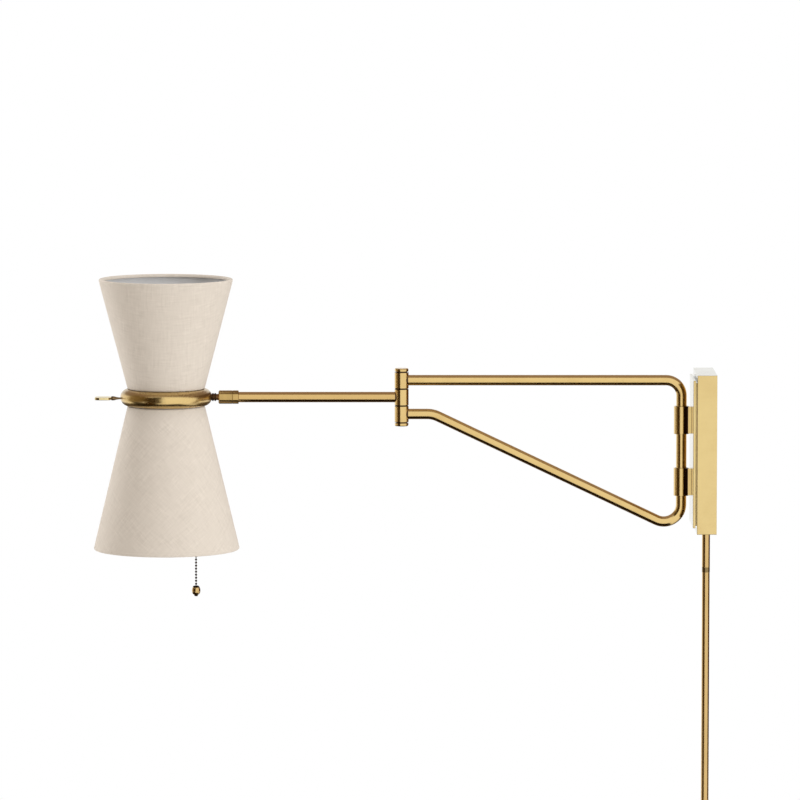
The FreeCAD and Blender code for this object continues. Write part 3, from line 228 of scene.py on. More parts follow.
def span(tree, value, low, high, start=0.0, stop=1.0, smooth=False):
    """Maps low..high of a value to start..stop, held at both ends."""
    kind = "SMOOTHSTEP" if smooth else "LINEAR"
    return shade_node(tree, "ShaderNodeMapRange",
                      {0: value, 1: low, 2: high, 3: start, 4: stop}, interpolation_type=kind).outputs[0]


def maths(tree, operation, first, second=0.0):
    """One operation on two values."""
    return shade_node(tree, "ShaderNodeMath", {0: first, 1: second}, operation=operation).outputs[0]


def weighted(tree, *parts):
    """Adds up values, each times its weight."""
    total = 0.0
    for value, weight in parts:
        total = shade_node(tree, "ShaderNodeMath", {0: value, 1: weight, 2: total},
                           operation="MULTIPLY_ADD").outputs[0]
    return total


def colour_mix(tree, factor, first, second):
    """Mixes two colours, which are values or other nodes' outputs."""
    first, second = (each if isinstance(each, bpy.types.NodeSocket) else rgba(each)
                     for each in (first, second))
    return shade_node(tree, "ShaderNodeMix", {0: factor, 6: first, 7: second}, data_type="RGBA").outputs[2]


def one_axis(tree, at, axis):
    """One of a place's three numbers."""
    return shade_node(tree, "ShaderNodeSeparateXYZ", {0: at}).outputs[axis]


def hairlines(tree, stretch, turn, width, sparse):
    """Fine scratches: thin level lines of a stretched noise, kept only in patches."""
    line = noise(tree, object_place(tree, stretch, turn), detail=1.0, roughness=0.4)
    near = maths(tree, "ABSOLUTE", maths(tree, "SUBTRACT", line, 0.5))
    thin = span(tree, near, 0.0, width, 1.0, 0.0, smooth=True)
    spread = noise(tree, object_place(tree), scale=34.0, detail=2.0)
    return maths(tree, "MULTIPLY", thin, span(tree, spread, sparse, sparse + 0.12, smooth=True))


def worn_edges(tree, radius):
    """Eased normal at the edges, and a mask of where it leaves the true one."""
    eased = shade_node(tree, "ShaderNodeBevel", {"Radius": radius}, samples=6).outputs["Normal"]
    true = tree.nodes.new("ShaderNodeNewGeometry").outputs["True Normal"]
    turn = shade_node(tree, "ShaderNodeVectorMath", {0: eased, 1: true}, operation="DOT_PRODUCT")
    return eased, span(tree, turn.outputs["Value"], 0.99, 0.9)


def occlusion_shade(tree, reach):
    """A mask of painted shade in the grooves and inside corners, taken from ambient occlusion."""
    open_part = shade_node(tree, "ShaderNodeAmbientOcclusion", {"Distance": reach}, samples=8).outputs["AO"]
    return span(tree, open_part, 0.35, 0.72, 1.0, 0.0, smooth=True)


def band(tree, axis, centre, half, soft=0.0002, weight=1.0):
    """A mask of what lies within a half width of a place along one axis."""
    along = one_axis(tree, object_place(tree), axis)
    away = maths(tree, "ABSOLUTE", maths(tree, "SUBTRACT", along, centre))
    return span(tree, away, half - soft, half + soft, weight, 0.0, smooth=True)


def bump(tree, height, strength, depth=0.0001, normal=None):
    """A normal that follows a height, over another normal where one is given."""
    inputs = {"Height": height, "Strength": strength, "Distance": depth}
    if normal is not None:
        inputs["Normal"] = normal
    return shade_node(tree, "ShaderNodeBump", inputs).outputs[0]


# finishes

PAINTED_SHADE_SHARE = (0.11, 0.065, 0.03)  # colour of the painted shade, as a share of the red, green and blue of aged brass
GROOVE_REACH = 0.0015  # how near two faces lie for shade to be painted between them
LINEN_PITCH = 0.00145  # width of two threads
FROST_LOW, FROST_HIGH = (0.86, 0.85, 0.82), (0.92, 0.91, 0.88)


def brass_finish(name, clean, aged, roughness, edge, marks, toned, painted_shade=(), lacquer=0.8, rim=WHITE,
                 groove_shade=0.9):
    """Lacquered satin brass, faintly clouded, with draw marks, scratches, bright edges and painted shade in
    the grooves.

    marks is how often the draw marks repeat in a metre of X, Y and Z, and toned how far the clouds go from
    clean to aged. painted_shade lists bands where shade or reflection is painted, rim tints what is seen
    edge-on, and groove_shade is how dark the painted shade in the grooves is.
    """
    finish, tree, shader = new_finish(name, {"Metallic": 1.0, "Specular Tint": rgba(rim),
                                             "Coat Weight": lacquer, "Coat Roughness": 0.08})
    cloud = noise(tree, object_place(tree), scale=26.0, detail=6.0, roughness=0.6, distortion=0.7)
    speck = noise(tree, object_place(tree), scale=520.0, detail=3.0, roughness=0.6)
    drawn = noise(tree, object_place(tree, marks), detail=3.0, roughness=0.6)
    tone = weighted(tree, (cloud, 0.7), (speck, 0.1), (drawn, 0.2))
    scratch = maths(tree, "MAXIMUM",
                    hairlines(tree, (420, 26, 60), (0.3, 0.5, 0.9), width=0.008, sparse=0.6),
                    hairlines(tree, (50, 400, 20), (0.7, -0.4, 0.3), width=0.007, sparse=0.62))
    eased, worn = worn_edges(tree, edge)
    # painted shade: grooves and inside corners from ambient occlusion, then each listed band by its place
    painted_shade_mask = maths(tree, "MULTIPLY", occlusion_shade(tree, GROOVE_REACH), groove_shade)
    for place in painted_shade:
        painted_shade_mask = maths(tree, "MAXIMUM", painted_shade_mask, band(tree, *place))

    clouded = colour_mix(tree, span(tree, tone, 0.4, 0.66, 0.0, toned, smooth=True), clean, aged)
    scored = colour_mix(tree, maths(tree, "MULTIPLY", scratch, 0.4), clouded, tinted(aged, 0.5))
    rubbed = colour_mix(tree, maths(tree, "MULTIPLY", worn, 0.6), scored, tinted(clean, 1.06))
    # dark colour of the painted shade
    shade_colour = tuple(left * part for left, part in zip(PAINTED_SHADE_SHARE, aged))
    satin = span(tree, tone, 0.35, 0.7, roughness * 0.85, roughness * 1.25)
    height = maths(tree, "SUBTRACT", maths(tree, "MULTIPLY", drawn, 0.35), scratch)
    feed(tree, shader, {"Base Color": colour_mix(tree, painted_shade_mask, rubbed, shade_colour),
                        "Roughness": maths(tree, "ADD", satin, maths(tree, "MULTIPLY", scratch, 0.12)),
                        "Normal": bump(tree, height, 0.04, normal=eased)})
    return finish


def plain_metal_finish(name, base, roughness, mottle, edge=0.0003):
    """Plated or oxidised metal with a fine mottle."""
    finish, tree, shader = new_finish(name, {"Metallic": 1.0, "Specular Tint": rgba(tinted(base, 1.5))})
    cloud = noise(tree, object_place(tree), scale=240.0, detail=5.0, roughness=0.6, distortion=0.5)
    eased, worn = worn_edges(tree, edge)
    spotted = colour_mix(tree, span(tree, cloud, 0.35, 0.65, smooth=True), tinted(base, 1.0 - mottle),
                         tinted(base, 1.0 + mottle))
    rubbed = colour_mix(tree, maths(tree, "MULTIPLY", worn, 0.6), spotted, tinted(base, 1.7))
    feed(tree, shader, {"Base Color": rubbed,
                        "Roughness": span(tree, cloud, 0.3, 0.7, roughness * 0.8, roughness * 1.3),
                        "Normal": bump(tree, cloud, 0.08, normal=eased)})
    return finish


def blackened_brass(metal):
    """Brass oxidised nearly to black, made once for the chain, its finial and the discs of the neck; its
    darkness is partly the oxide and partly a painted dark reflection.
    """
    made = bpy.data.materials.get("blackened_brass")
    if made is None:
        # oxide darkened further as a painted dark reflection
        made = plain_metal_finish("blackened_brass", tinted(metal.oxide, 0.3), roughness=0.34, mottle=0.3,
                                  edge=metal.edge * 0.5)
    return made


def moulded_finish(name, base, roughness, grain, pebble=900.0, gloss=0.5):
    """Moulded or painted surface with a fine grain."""
    finish, tree, shader = new_finish(name, {"Specular IOR Level": gloss})
    fine = noise(tree, object_place(tree), scale=pebble, roughness=0.6)
    broad = noise(tree, object_place(tree), scale=60.0, detail=3.0)
    shaded = colour_mix(tree, span(tree, broad, 0.3, 0.7), tinted(base, 1.0 - grain),
                        tinted(base, 1.0 + grain))
    feed(tree, shader, {"Base Color": shaded,
                        "Roughness": span(tree, fine, 0.3, 0.7, roughness * 0.85, roughness * 1.15),
                        "Normal": bump(tree, fine, 0.15)})
    return finish


def linen_finish(name, linen, slub):
    """Plain woven linen on the cloth's own map: crossing threads, slubs both ways and a soft sheen."""
    finish, tree, shader = new_finish(name, {"Roughness": 0.9, "Sheen Weight": 0.12, "Sheen Roughness": 0.5,
                                             "Specular IOR Level": 0.25})
    flat = shade_node(tree, "ShaderNodeUVMap", uv_map="weave").outputs["UV"]

    def crossing(across, along, detail, roughness):
        """Noise drawn out into threads that run both ways, added up."""
        ways = []
        for stretch in ((across, along, 1), (along, across, 1)):
            at = shade_node(tree, "ShaderNodeMapping", {"Vector": flat, "Scale": stretch}).outputs[0]
            ways.append(noise(tree, at, detail=detail, roughness=roughness))
        return maths(tree, "ADD", *ways)

    def wave(axis):
        """Rise and fall of the threads along one edge of the cloth."""
        run = one_axis(tree, flat, axis)
        return maths(tree, "SINE", maths(tree, "MULTIPLY", run, 2 * math.pi / LINEN_PITCH))

    fine = crossing(1150, 50, 3.0, 0.6)
    slubs = maths(tree, "SUBTRACT", crossing(420, 66, 2.0, 0.5), 1.0)
    patch = span(tree, noise(tree, flat, scale=48.0, detail=2.0), 0.36, 0.64, 0.35, 1.65)
    broad = maths(tree, "ADD", maths(tree, "MULTIPLY", slubs, patch), 1.0)
    over = span(tree, maths(tree, "MULTIPLY", wave(X_AXIS), wave(Y_AXIS)), -1.0, 1.0)
    cloud = noise(tree, flat, scale=14.0, detail=3.0)
    tone = weighted(tree, (fine, 0.55), (broad, 0.7), (over, 0.12), (cloud, 0.2))
    height = weighted(tree, (over, 0.6), (fine, 0.5))
    woven = colour_mix(tree, span(tree, tone, 1.07, 1.78), slub, tinted(linen, 1.05))
    feed(tree, shader, {"Base Color": woven, "Normal": bump(tree, height, 0.22, 0.00025)})
    return finish


def glass_finish(name):
    """Frosted white lamp glass."""
    finish, tree, shader = new_finish(name, {"Coat Weight": 0.25, "Coat Roughness": 0.2})
    frost = noise(tree, object_place(tree), scale=700.0, roughness=0.6)
    white = colour_mix(tree, span(tree, frost, 0.35, 0.65), FROST_LOW, FROST_HIGH)
    feed(tree, shader, {"Base Color": white, "Roughness": span(tree, frost, 0.3, 0.7, 0.32, 0.46),
                        "Normal": bump(tree, frost, 0.05)})
    return finish


def wear(names, finish):
    """Gives CAD nodes their finish."""
    for name in names:
        mesh = NODES[name].data
        mesh.materials.clear()
        mesh.materials.append(finish)


# building blocks for the pieces

def new_object(name, bm, finish):
    """Turns a bmesh into an object of the scene."""
    mesh = bpy.data.meshes.new(name)
    bm.to_mesh(mesh)
    bm.free()
    mesh.materials.append(finish)
    made = bpy.data.objects.new(name, mesh)
    bpy.context.scene.collection.objects.link(made)
    return made


def new_piece(name, bm, body, finish, replaced=()):
    """Turns a bmesh into a piece of the lamp that rides on a body."""
    piece = new_object(name, bm, finish)
    piece.data.shade_smooth()
    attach(piece, body)
    if replaced:
        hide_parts(*replaced)
    return piece


def rounded_off(piece, levels):
    """Rounds a piece by subdivision."""
    smooth = piece.modifiers.new("rounded", "SUBSURF")
    smooth.levels = levels
    smooth.render_levels = levels


def thickened(piece, thickness, offset):
    """Gives a sheet its thickness and rounds it off."""
    thick = piece.modifiers.new("cloth", "SOLIDIFY")
    thick.thickness = thickness
    thick.offset = offset
    rounded_off(piece, levels=1)


def turned_shape(points, centre, across, steps):
    """Spins a profile of (radius, height) points about an upright axis; across is where the spin starts.

    Each vertex keeps how far along the profile it lies, as its way.
    """
    bm = bmesh.new()
    way = bm.verts.layers.float.new("way")
    axis, across = Vector((0, 0, 1)), Vector(across)
    verts = []
    run = 0.0
    for place, (radius, height) in enumerate(points):
        if place:
            run += math.dist(points[place], points[place - 1])
        vert = bm.verts.new(centre + across * radius + axis * height)
        vert[way] = run
        verts.append(vert)
    edges = [bm.edges.new(pair) for pair in zip(verts, verts[1:])]
    bmesh.ops.spin(bm, geom=verts + edges, cent=centre, axis=axis, dvec=(0, 0, 0), angle=2 * math.pi,
                   steps=steps, use_merge=True)
    bmesh.ops.remove_doubles(bm, verts=bm.verts, dist=1e-6)
    bmesh.ops.recalc_face_normals(bm, faces=bm.faces)
    return bm


# linen covers of the shades

HEM_ROLL = 0.0011  # how far the hem's round edges reach across the rim
HEM_DROP = 0.0012  # and down
STITCH_HALF = 0.0006
WALL_ROWS = (1.0, 0.97, 0.75, 0.5, 0.25)  # shares of the height
HEM_ROWS = (0.012, 0.0062)  # rows below the rim that keep the wall straight beside the hem
COVER_STEPS = 96
LAP_TOP = 0.0066  # where the lap starts below the rim
LAP_SHORT = 0.0075  # how much shorter than the cover it is
LAP_LIFT = 0.00005


class ShadeCone:
    """Outer face of a shade cover, from its neck on the ring to its rim, measured from the ring's middle."""

    def __init__(self, side, neck, seat):
        low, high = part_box(f"{side}_shade_cover")
        near, far = sorted(abs(z - HEAD.z) for z in (low[2], high[2]))
        self.neck = neck
        self.rim = (high[0] - low[0]) / 2
        self.stop = far
        self.rise = far - (near - seat)
        self.slope = (self.rim - neck) / self.rise
        self.slant = math.hypot(self.rim - neck, self.rise)
        self.lean = (self.rim - neck) / self.slant

    def wall(self, below, inside=0.0):
        """Radius and height of a point, a distance below the rim and inside the outer face."""
        return self.rim - self.slope * below - inside, self.stop - below

    def cut(self, spare, lap):
        """Width, length and area of the flat cloth that makes the cone with a turned hem and a lap."""
        far, near, half = self.rim / self.lean + spare, self.neck / self.lean, math.pi * self.lean
        width = 2 * far * math.sin(half) + lap
        return (width, far - near * math.cos(half)), half * (far ** 2 - near ** 2) + lap * self.slant


def weave_map(bm, cone, grain):
    """Lays the cone out flat as it was cut, with the front in the middle and the back at the edges."""
    sheet = bm.loops.layers.uv.new("weave")
    way = bm.verts.layers.float["way"]
    for face in bm.faces:
        mid = face.calc_center_median() - HEAD
        back = math.atan2(mid.x, -mid.y)
        for loop in face.loops:
            spot = loop.vert.co - HEAD
            turn = math.atan2(spot.x, -spot.y)
            if abs(turn - back) > math.pi:
                turn += math.copysign(2 * math.pi, back)
            far = cone.neck / cone.lean + loop.vert[way]
            flat = Vector((far * math.sin(turn * cone.lean), far * math.cos(turn * cone.lean)))
            loop[sheet].uv = Matrix.Rotation(grain, 2) @ flat
    bm.verts.layers.float.remove(way)


def face_outwards(bm):
    """Turns an open sheet so that it faces away from the head's axis."""
    face = max(bm.faces, key=lambda each: each.calc_area())
    spot = face.calc_center_median() - HEAD
    if face.normal.dot(Vector((spot.x, spot.y, 0))) < 0:
        bmesh.ops.reverse_faces(bm, faces=bm.faces)


def cover_shape(cone, sign, settings):
    """The cone with its stitched hem, rolled over the rim and down inside it."""
    hem, depth, stitch = settings.hem_width, settings.hem_depth, settings.stitch
    wall = cone.wall
    profile = [wall(cone.rise * part) for part in WALL_ROWS] + [wall(row) for row in HEM_ROWS]
    profile += [wall(stitch + STITCH_HALF), wall(stitch, settings.stitch_depth), wall(stitch - STITCH_HALF),
                wall(HEM_DROP), (cone.rim - HEM_ROLL, cone.stop), (cone.rim - hem + HEM_ROLL, cone.stop),
                wall(HEM_DROP, hem), wall(depth * 0.7, hem), wall(depth, hem)]
    bm = turned_shape([(radius, sign * height) for radius, height in profile], HEAD, (0, 1, 0), COVER_STEPS)
    face_outwards(bm)
    return bm


def lap_shape(cone, sign, settings):
    """The strip of cloth that laps over itself down the back of a cover."""
    bm = bmesh.new()
    way = bm.verts.layers.float.new("way")
    bmesh.ops.create_grid(bm, x_segments=4, y_segments=24, size=0.5)
    for vert in bm.verts:
        below = LAP_TOP + (cone.rise - LAP_SHORT) * (0.5 - vert.co.y)
        radius, height = cone.wall(below, -LAP_LIFT)
        turn = math.pi + vert.co.x * settings.lap / radius
        vert[way] = cone.slant * (1 - below / cone.rise)
        vert.co = HEAD + Vector((radius * math.sin(turn), -radius * math.cos(turn), sign * height))
    bmesh.ops.recalc_face_normals(bm, faces=bm.faces)
    face_outwards(bm)
    return bm


def shade_cover(side, neck, sign, grain, finish, settings):
    """Linen cover of one shade: a cone with its hem rolled round the rim wire, and a glued lap behind."""
    cone = ShadeCone(side, neck, settings.seat)
    shape = cover_shape(cone, sign, settings)
    weave_map(shape, cone, grain)
    cover = new_piece(f"{side}_linen_cover", shape, "head", finish, [f"{side}_shade_cover"])
    thickened(cover, settings.cloth, offset=-1.0)

    shape = lap_shape(cone, sign, settings)
    weave_map(shape, cone, grain)
    strip = new_piece(f"{side}_linen_lap", shape, "head", finish)
    thickened(strip, settings.cloth * 0.6, offset=1.0)

    flat, area = cone.cut(settings.hem_width + settings.hem_depth, settings.lap)


# turned finial of the pull chain: profiles in shares of its radius, and of its height down from the top

FINIAL_COLLAR = ((0.0, 0.0), (0.40, 0.0), (0.55, 0.012), (0.68, 0.05), (0.76, 0.1), (0.76, 0.125),
                 (0.0, 0.125))
FINIAL_ACORN = ((0.0, 0.12), (0.72, 0.12), (0.82, 0.135), (0.95, 0.28), (1.0, 0.45), (0.98, 0.58),
                (0.88, 0.7), (0.70, 0.8), (0.47, 0.865), (0.0, 0.87))
FINIAL_FOOT = ((0.0, 0.855), (0.42, 0.855), (0.43, 0.87), (0.43, 0.94), (0.36, 0.985), (0.2, 1.0),
               (0.0, 1.0))
FINIAL_STEPS = 24


def finial(body, trim):
    """Turned acorn weight at the end of the pull chain, with a dark collar and foot."""
    low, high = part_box("chain_finial")
    tall = high[2] - low[2]
    wide = (high[0] - low[0]) / 2
    top = Vector(((low[0] + high[0]) / 2, (low[1] + high[1]) / 2, high[2]))
    for name, shape, finish, replaced in (("acorn_finial", FINIAL_ACORN, body, ["chain_finial"]),
                                          ("finial_collar", FINIAL_COLLAR, trim, []),
                                          ("finial_foot", FINIAL_FOOT, trim, [])):
        points = [(wide * radius, -tall * drop) for radius, drop in shape]
        bm = turned_shape(points, top, (1, 0, 0), FINIAL_STEPS)
        rounded_off(new_piece(name, bm, "hanging_chain", finish, replaced), levels=2)


# how often the marks of making repeat in a metre of X, Y and Z

SHEET_MARKS = (60, 200, 320)
PADDLE_MARKS = (60, 200, 60)
KNUCKLE_MARKS = (320, 320, 60)
LEVEL_TUBE_MARKS = (7, 520, 520)
UPRIGHT_TUBE_MARKS = (520, 520, 7)
RING_MARKS = (60, 60, 400)
COLLAR_MARKS = (400, 60, 60)
FERRULE_MARKS = (400, 400, 60)
FINIAL_MARKS = (90, 90, 90)

TURNED_GLOSS = 0.8  # roughness of turned and drawn pieces, as a share of the satin brass's
COOL_RIM, WARM_RIM = (0.76, 0.86, 1.0), (0.84, 0.8, 0.66)  # tints of what is seen edge-on
NYLON_BROWN = (0.022, 0.012, 0.005)
PHENOLIC_BLACK = (0.022, 0.02, 0.019)
SHEATH_BROWN = (0.06, 0.045, 0.03)


class LAMP_OT_canopy(bpy.types.Operator):
    """Finish the canopy with its front plate, and the inner brass of the head, in satin brass"""
    bl_idname = "wall_lamp.canopy"
    bl_label = "Canopy"

    def execute(self, context):
        metal = context.scene.wall_lamp_metal
        satin = brass_finish("satin_brass", metal.brass, metal.aged, metal.roughness, metal.edge, SHEET_MARKS,
                             toned=0.2, rim=COOL_RIM)
        wear(["wall_canopy", "front_plate", "canopy_screws", "ring_spider", "spider_nipple", "screw_shells",
              "lamp_contacts", "bulb_bases", "pull_nozzle", "pull_rod"], satin)
        return {"FINISHED"}


class LAMP_OT_arms(bpy.types.Operator):
    """Finish the lugs, the bent arm, the elbow and the forearm"""
    bl_idname = "wall_lamp.arms"
    bl_label = "Arms"

    def execute(self, context):
        metal, painted_shade = context.scene.wall_lamp_metal, context.scene.wall_lamp_tarnish
        gloss = metal.roughness * TURNED_GLOSS
        # painted shade: the sleeves' side that faces the wall plate
        sleeves = [(X_AXIS, middle("pivot_bushes").x + painted_shade.sleeve_place, painted_shade.sleeve_half)]
        lugs = brass_finish("lug_brass", metal.warm, metal.aged, gloss, metal.edge, KNUCKLE_MARKS, toned=0.25,
                            painted_shade=sleeves, lacquer=metal.thin_lacquer)
        wear(["upper_lug", "lower_lug"], lugs)

        # painted shade along the elbow's joint lines, between the knuckles and under the caps
        low, high = (corner[2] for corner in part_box("middle_knuckle"))
        under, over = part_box("lower_knuckle")[0][2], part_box("upper_knuckle")[1][2]
        lines = [(Z_AXIS, height, painted_shade.line_half)
                 for height in (low - painted_shade.washer_place, high + painted_shade.washer_place,
                                under - painted_shade.cap_place, over + painted_shade.cap_place)]
        barrel = brass_finish("barrel_brass", metal.warm, metal.aged, gloss, metal.edge, KNUCKLE_MARKS,
                              toned=0.25, painted_shade=lines, lacquer=metal.thin_lacquer)
        wear(["elbow_caps", "upper_knuckle", "lower_knuckle", "middle_knuckle"], barrel)

        # painted shade where the tubes meet the middle knuckle
        junction_shade = [(X_AXIS, middle("middle_knuckle").x, painted_shade.junction_shade_half)]
        for name, tone, toned, piece in (("drawn_brass", metal.warm, 0.3, "arm_tube"),
                                         ("toned_brass", metal.toned, 0.4, "forearm_tube")):
            tube = brass_finish(name, tone, metal.aged, gloss, metal.edge, LEVEL_TUBE_MARKS, toned=toned,
                                painted_shade=junction_shade, lacquer=metal.thin_lacquer)
            wear([piece], tube)
        return {"FINISHED"}


class LAMP_OT_head(bpy.types.Operator):
    """Finish the ring, the handle, the collar, the neck and the pull chain"""
    bl_idname = "wall_lamp.head"
    bl_label = "Head"

    def execute(self, context):
        metal, painted_shade = context.scene.wall_lamp_metal, context.scene.wall_lamp_tarnish
        gloss = metal.roughness * TURNED_GLOSS
        # painted shade above and below the ring's middle, where the shades sit on it
        seat_shade = [(Z_AXIS, HEAD.z + side * painted_shade.seat_place, painted_shade.seat_half, painted_shade.seat_soft,
                  painted_shade.seat_weight) for side in (1, -1)]
        ring = brass_finish("ring_brass", metal.warm, metal.aged, metal.roughness * 1.35, metal.edge,
                            RING_MARKS, toned=0.3, painted_shade=seat_shade, lacquer=metal.thin_lacquer, groove_shade=0.3)
        wear(["shade_ring"], ring)

        # painted reflection: dark bands on the collar above and below its axis, and a darkest line below it
        collar_reflection_bands = [(Z_AXIS, HEAD.z + side * painted_shade.collar_place, painted_shade.collar_half, painted_shade.collar_soft,
                   painted_shade.collar_weight) for side in (1, -1)]
        collar_reflection_bands.append((Z_AXIS, HEAD.z - painted_shade.collar_line_place, painted_shade.collar_line_half,
                       painted_shade.collar_line_soft, painted_shade.collar_line_weight))
        collar = brass_finish("collar_brass", metal.aged, tinted(metal.aged, 0.75), gloss, metal.edge,
                              COLLAR_MARKS, toned=0.6, painted_shade=collar_reflection_bands, lacquer=0.5, groove_shade=0.3)
        wear(["swivel_collar", "collar_nut"], collar)

        pale = brass_finish("pale_brass", metal.pale, metal.brass, gloss * 0.6, metal.edge, PADDLE_MARKS,
                            toned=0.3, lacquer=0.2, rim=WARM_RIM)
        wear(["handle_paddle"], pale)
        fine = metal.edge * 0.5
        worn = plain_metal_finish("worn_brass", metal.worn, roughness=0.3, mottle=0.25, edge=fine)
        wear(["handle_stem_bead"], worn)
        brown = plain_metal_finish("oxidised_brass", metal.oxide, roughness=0.3, mottle=0.3, edge=fine)
        wear(["swivel_stem"], brown)
        wear(["neck_discs", "pull_chain"], blackened_brass(metal))
        return {"FINISHED"}


class LAMP_OT_cord_cover(bpy.types.Operator):
    """Finish the cord cover and its dark ferrule"""
    bl_idname = "wall_lamp.cord_cover"
    bl_label = "Cord cover"

    def execute(self, context):
        metal = context.scene.wall_lamp_metal
        gloss = metal.roughness * TURNED_GLOSS
        tube = brass_finish("cord_cover_brass", metal.toned, metal.aged, gloss, metal.edge,
                            UPRIGHT_TUBE_MARKS, toned=0.4)
        wear(["cord_cover_stub", "cord_cover_tube"], tube)
        ferrule = brass_finish("ferrule_brass", tinted(metal.aged, 0.5), tinted(metal.aged, 0.375), gloss,
                               metal.edge, FERRULE_MARKS, toned=0.6)
        wear(["cord_cover_ferrule"], ferrule)
        return {"FINISHED"}


class LAMP_OT_fittings(bpy.types.Operator):
    """Finish the other fittings: steel, plastics, enamelled frames, liners, wires and bulbs"""
    bl_idname = "wall_lamp.fittings"
    bl_label = "Other fittings"

    def execute(self, context):
        metal, shades = context.scene.wall_lamp_metal, context.scene.wall_lamp_shades
        wear(["wall_bracket", "lug_screws", "pivot_grub_screw", "stub_nut", "elbow_pins", "swivel_spring",
              "coupling_cross_pin"],
             plain_metal_finish("zinc_steel", metal.steel, roughness=0.34, mottle=0.12))
        wear(["pivot_bushes", "elbow_washers", "friction_washer_ring", "cord_bush"],
             moulded_finish("brown_nylon", NYLON_BROWN, roughness=0.6, grain=0.2, gloss=0.1))
        wear(["terminal_block", "upper_lamp_holder", "lower_lamp_holder", "clamp_rings", "switch_housing"],
             moulded_finish("black_phenolic", PHENOLIC_BLACK, roughness=0.32, grain=0.2, pebble=500.0))
        wear(["rim_wires", "upper_shade_fitter", "lower_shade_fitter"],
             moulded_finish("frame_enamel", metal.enamel, roughness=0.4, grain=0.05))
        wear(["upper_shade_liner", "lower_shade_liner"],
             moulded_finish("shade_liner", shades.liner, roughness=0.75, grain=0.04, pebble=1400.0))
        wear(["canopy_wire", "arm_wire", "forearm_wire", "head_wire"],
             moulded_finish("wire_sheath", SHEATH_BROWN, roughness=0.45, grain=0.15))
        wear(["upper_bulb", "lower_bulb"], glass_finish("frosted_glass"))
        return {"FINISHED"}


class LAMP_OT_covers(bpy.types.Operator):
    """Make the two linen covers with their rolled hems and laps"""
    bl_idname = "wall_lamp.covers"
    bl_label = "Linen covers"

    def execute(self, context):
        shades = context.scene.wall_lamp_shades
        linen = linen_finish("cream_linen", shades.linen, shades.slub)
        shade_cover("upper", shades.upper_neck, 1, shades.upper_grain, linen, shades)
        shade_cover("lower", shades.lower_neck, -1, shades.lower_grain, linen, shades)
        return {"FINISHED"}


class LAMP_OT_finial(bpy.types.Operator):
    """Make the turned acorn finial of the pull chain"""
    bl_idname = "wall_lamp.finial"
    bl_label = "Finial"

    def execute(self, context):
        metal = context.scene.wall_lamp_metal
        body = brass_finish("finial_brass", metal.toned, metal.aged, metal.roughness * 0.6, metal.edge * 0.25,
                            FINIAL_MARKS, toned=0.9)
        finial(body, blackened_brass(metal))
        return {"FINISHED"}


# stage

# soft lamps: name, place, aim, size, power and tint
SOFTBOXES = (
    ("key", (2.2, -2.3, 0.45), (-0.45, 0, 0.0), 1.6, 60.0, (0.96, 0.98, 1.0)),
    ("top", (-0.4, -0.3, 2.4), (-0.35, 0, 0.0), 1.8, 16.0, (0.97, 0.985, 1.0)),
    ("rim", (-3.0, 1.4, 0.2), (-0.45, 0, 0.0), 1.6, 44.0, (0.97, 0.985, 1.0)),
)
# studio cards: name, middle, two half sides and tint, then the tint and the places in Y of one that fades
CARDS = (
    ("right_card", (4.0, 10.8, 0.0), (0, 11.2, 0), (0, 0, 3.0), (0.10, 0.05, 0.027)),
    ("left_card", (-4.3, -4.3, 0.0), (0, 5.6, 0), (0, 0, 4.0), (0.09, 0.052, 0.016),
     (0.26, 0.20, 0.115), (-4.2, 1.0)),
    ("top_card", (-0.3, 3.4, 3.6), (8.0, 0, 0), (0, 5.6, 0), (0.36, 0.28, 0.25)),
    ("low_card", (-1.9, -0.34, -1.2), (2.25, 0, 0), (0, 0.79, 0), (0.015, 0.009, 0.005)),
    ("ring_flag", (-1.22, -0.85, 0.27), (0.485, 0, 0), (0, 0, 0.77), (0.04, 0.024, 0.01)),
    ("right_flag", (1.2, -0.11, -0.75), (0, 0.2, 0), (0, 0, 0.55), (0.10, 0.05, 0.027)),
    ("left_flag", (-1.2, -1.02, -0.8), (0, 0.58, 0), (0, 0, 0.6), (0.05, 0.025, 0.004)),
    ("back_card", (-0.4, 3.15, -1.2), (2.0, 0, 0), (0, 2.7, 0), (0.11, 0.08, 0.05)),
)
SENSOR = 36.0
FAR_CLIP = 200.0
FILL_TINT = (1.0, 0.94, 0.88)
FLOOR_TINT = (0.86, 0.86, 0.85)
FLOOR_HALF = 5.0
FLOOR_FADE = (0.6, 4.6)  # from where to where, away from under the lamp, the floor turns to plain white
FLOOR_WHITE = 0.78  # how white it is under the lamp


def softbox(name, place, aim, size, power, tint):
    """Soft lamp that lights the object and stays out of the metal's reflections."""
    lamp = bpy.data.lights.new(name, "AREA")
    lamp.shape = "DISK"
    lamp.size = size
    lamp.energy = power
    lamp.color = tint
    made = bpy.data.objects.new(name, lamp)
    made.location = place
    made.rotation_euler = (Vector(aim) - Vector(place)).to_track_quat("-Z", "Y").to_euler()
    made.visible_camera = False
    made.visible_glossy = False
    bpy.context.scene.collection.objects.link(made)


def flat_panel(centre, right, up):
    """A flat rectangle; right and up are its half sides."""
    bm = bmesh.new()
    bmesh.ops.create_grid(bm, x_segments=1, y_segments=1, size=1.0)
    for vert in bm.verts:
        vert.co = Vector(centre) + Vector(right) * vert.co.x + Vector(up) * vert.co.y
    return bm


